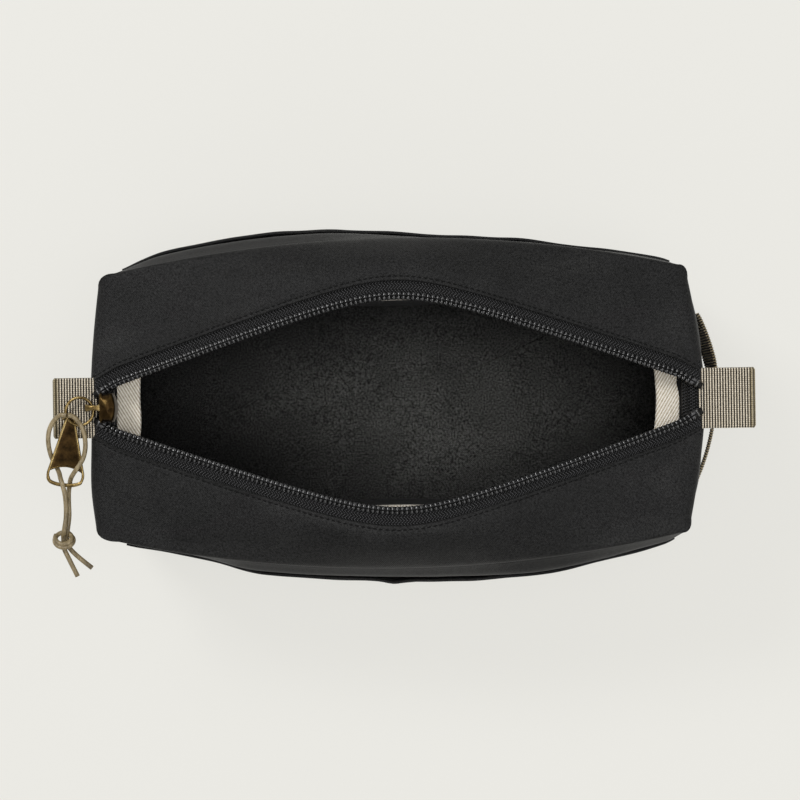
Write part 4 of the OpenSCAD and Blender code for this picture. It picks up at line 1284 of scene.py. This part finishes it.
def tabHalf(down):
    # Half the width of the pull tab, at that distance below its eye.
    k = max(0.0, min(1.0, down / (pullTab["footAt"] - 1.5)))
    return pullTab["neck"] + (pullTab["footHalf"] - pullTab["neck"]) * k


def makePullTab():
    # A cast tab: a raised rim round a sunk plate, a slot for the lace, and a standing eye for the ring.
    low, t, rim = pullTab["low"], pullTab["thickness"], pullTab["rim"]
    z = low + t / 2
    inset = rim / 2
    downs = spread(16, 0.9, pullTab["footAt"] - 1.5)
    right = [(tabHalf(d) - inset, d) for d in downs]
    half, end = pullTab["footHalf"], pullTab["footEnd"]
    foot = [(half - inset, pullTab["footAt"] + 0.2), (half - 1.3, pullTab["footAt"] + 2.1),
            (half - 3.2, end - 1.2), (2.2, end - 0.75)]
    side = right + foot
    loop = side + [(0, end - 0.7)] + [(-a, d) for a, d in side[::-1]] + [(-0.6, 0.3), (0.6, 0.3)]
    path = roundTrip([tabPoint(a, d, z) for a, d in loop], 3)
    downAt = [d for _, d in loop for _ in range(3)]
    widths = [rim + (pullTab["footRim"] - rim) * smoothStep(pullTab["footAt"], end - 1, d) for d in downAt]
    pieces = [sweep("pullTabRim", path, widths, t + 0.25, antiqueBrass, closed=True, corner=0.6)]
    slotHalf = tabHalf(pullTab["slotTop"])
    arc = [(a, pullTab["slotTop"] - pullTab["slotRise"] * (1 - (a / half) ** 2))
           for a in spread(17, 0.3 - slotHalf, slotHalf - 0.3)]
    pieces.append(sweep("pullTabBar", [tabPoint(a, d, z) for a, d in arc], 0.8, t + 0.05, shadedBrass, corner=0.6))
    rows, uvRows = [], []
    for k in range(30):
        share = k / 29
        top, bottom, uvs = [], [], []
        for j in range(17):
            a = -1 + 2 * j / 16
            low2 = pullTab["slotTop"] - pullTab["slotRise"] * (1 - (a * (slotHalf - 0.5) / half) ** 2)
            d = 0.6 + (low2 - 0.6) * share
            across = a * (tabHalf(d) - 0.5)
            dish = 0.1 * (1 - a * a)
            top.append(tabPoint(across, d, z + pullTab["plate"] / 2 - dish))
            bottom.append(tabPoint(across, d, z - pullTab["plate"] / 2))
            uvs.append((across, d))
        rows.append(top + bottom[::-1])
        uvRows.append(uvs + uvs[::-1] + uvs[:1])
    plate = outward(gridMesh("pullTabPlate", rows, uvRows, closeAcross=True, capEnds=True))
    pieces.append(newObject("pullTabPlate", plate, shadedBrass))
    x0, y0, z0 = pullTab["eye"]
    axis = Vector((-0.573576, 0.819152, 0))
    out = Vector((0.819152, 0.573576, 0))
    mean = pullTab["eyeHole"] + pullTab["eyeWall"] / 2
    eye = [Vector((x0, y0, z0)) + out * (mean * math.cos(a)) + Vector((0, 0, mean * math.sin(a)))
           for a in (2 * math.pi * k / 40 for k in range(40))]
    pieces.append(sweep("pullTabEye", eye, 1.5, pullTab["eyeWall"], antiqueBrass, closed=True, up=tuple(axis),
                        corner=0.6))
    for piece in pieces:
        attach(piece, "pull")
    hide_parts("pull_tab")


def makeCoilEnds():
    # Smooth tape sleeves that cover the ends of both rows of coil, and the ribbed stay between them.
    paths = []
    for turn in (1, -1):
        for side in (1, -1):
            paths.append([(s * turn * bag["endX"], coilY(s) * side, bag["seamZ"] + rise(s) - 0.3 + coil["height"] / 2
                           - 0.5 - 1.2 * smoothStep(0.965, 0.985, s)) for s in spread(12, 0.95, 0.982)])
    data = curveThrough("coilEnds", paths)
    data.bevel_depth = 1.6 * mm
    data.bevel_resolution = 4
    data.use_fill_caps = True
    finishPiece(newObject("coilEnds", data, tapeWeave), "bag", "tape", "zipper_stops")
    for turn, name in ((1, "zipStayRight"), (-1, "zipStayLeft")):
        rows, uvRows = [], []
        for k in range(60):
            share = k / 59
            x = (bag["endX"] - 0.8 - 8.2 * share) * turn
            z = bag["seamZ"] - 0.6 - 9.0 * share ** 1.6 + 0.22 * math.sin(share * 2 * math.pi * 9)
            half = 6.0 + 1.5 * share
            ys = spread(9, -half, half)
            rows.append([(x, y, z) for y in ys] + [(x - 0.5 * turn, y, z - 0.6) for y in ys[::-1]])
            uvs = [(y, x) for y in ys]
            uvRows.append(uvs + uvs[::-1] + uvs[:1])
        mesh = outward(gridMesh(name, rows, uvRows, closeAcross=True, capEnds=True))
        finishPiece(newObject(name, mesh, tapeWeave), "bag", "tape")


makeSlider()
makeBridge()
makeRing()
makePullTab()
makeCoilEnds()
print("metal finished")

# Studio

studio = {"floor": ("6a6966", "6e6d6a"), "glow": 0.69, "keyPower": 17.0, "keySize": 0.5, "fillPower": 6.0,
          "topPower": 12.0, "world": 0.6}


def makeStudio():
    floorMesh = bpy.data.meshes.new("floor")
    floorMesh.from_pydata([(-3, -3, 0), (3, -3, 0), (3, 3, 0), (-3, 3, 0)], [], [(0, 1, 2, 3)])
    floorMaterial, tree, shader = newMaterial("paintedBoard", Roughness=0.9)
    place = addNode(tree, "ShaderNodeTexCoord").outputs["Object"]
    patches = addNode(tree, "ShaderNodeTexNoise", {"Scale": 3, "Detail": 2, "Roughness": 0.55}, {"Vector": place})
    colour = addNode(tree, "ShaderNodeValToRGB", {}, {0: patches.outputs["Fac"]},
                     list(zip((0.2, 0.8), studio["floor"])))
    tree.links.new(colour.outputs[0], shader.inputs["Base Color"])
    shader.inputs["Emission Color"].default_value = hexColour("fbfaf4")  # a light table, so shadows stay faint
    shader.inputs["Emission Strength"].default_value = studio["glow"]
    floor = newObject("floor", floorMesh, floorMaterial)
    for name, place, size, power in (("keyLight", (-0.9, 0.9, 1.7), studio["keySize"], studio["keyPower"]),
                                     ("fillLight", (1.2, -0.5, 1.5), 1.8, studio["fillPower"]),
                                     ("topLight", (0.15, -0.1, 2.3), 0.9, studio["topPower"])):
        data = bpy.data.lights.new(name, "AREA")
        data.energy = power
        data.size = size
        lamp = newObject(name, data)
        lamp.location = place
        lamp.rotation_euler = (-Vector(place)).to_track_quat("-Z", "Y").to_euler()
    world = bpy.data.worlds.new("studioWorld")
    world.use_nodes = True
    tree = world.node_tree
    height = addNode(tree, "ShaderNodeSeparateXYZ", {}, {0: addNode(tree, "ShaderNodeTexCoord").outputs["Generated"]})
    back = tree.nodes["Background"]
    # bright walls with a darker ceiling, so that what faces straight up stays dark
    walls = addNode(tree, "ShaderNodeValToRGB", {}, {0: height.outputs["Z"]},
                    [(0.0, "e8e8e6"), (0.7, "fdfcfa"), (0.97, "787876")])
    tree.links.new(walls.outputs[0], back.inputs[0])
    back.inputs[1].default_value = studio["world"]
    scene.world = world


makeStudio()
print("studio lit")
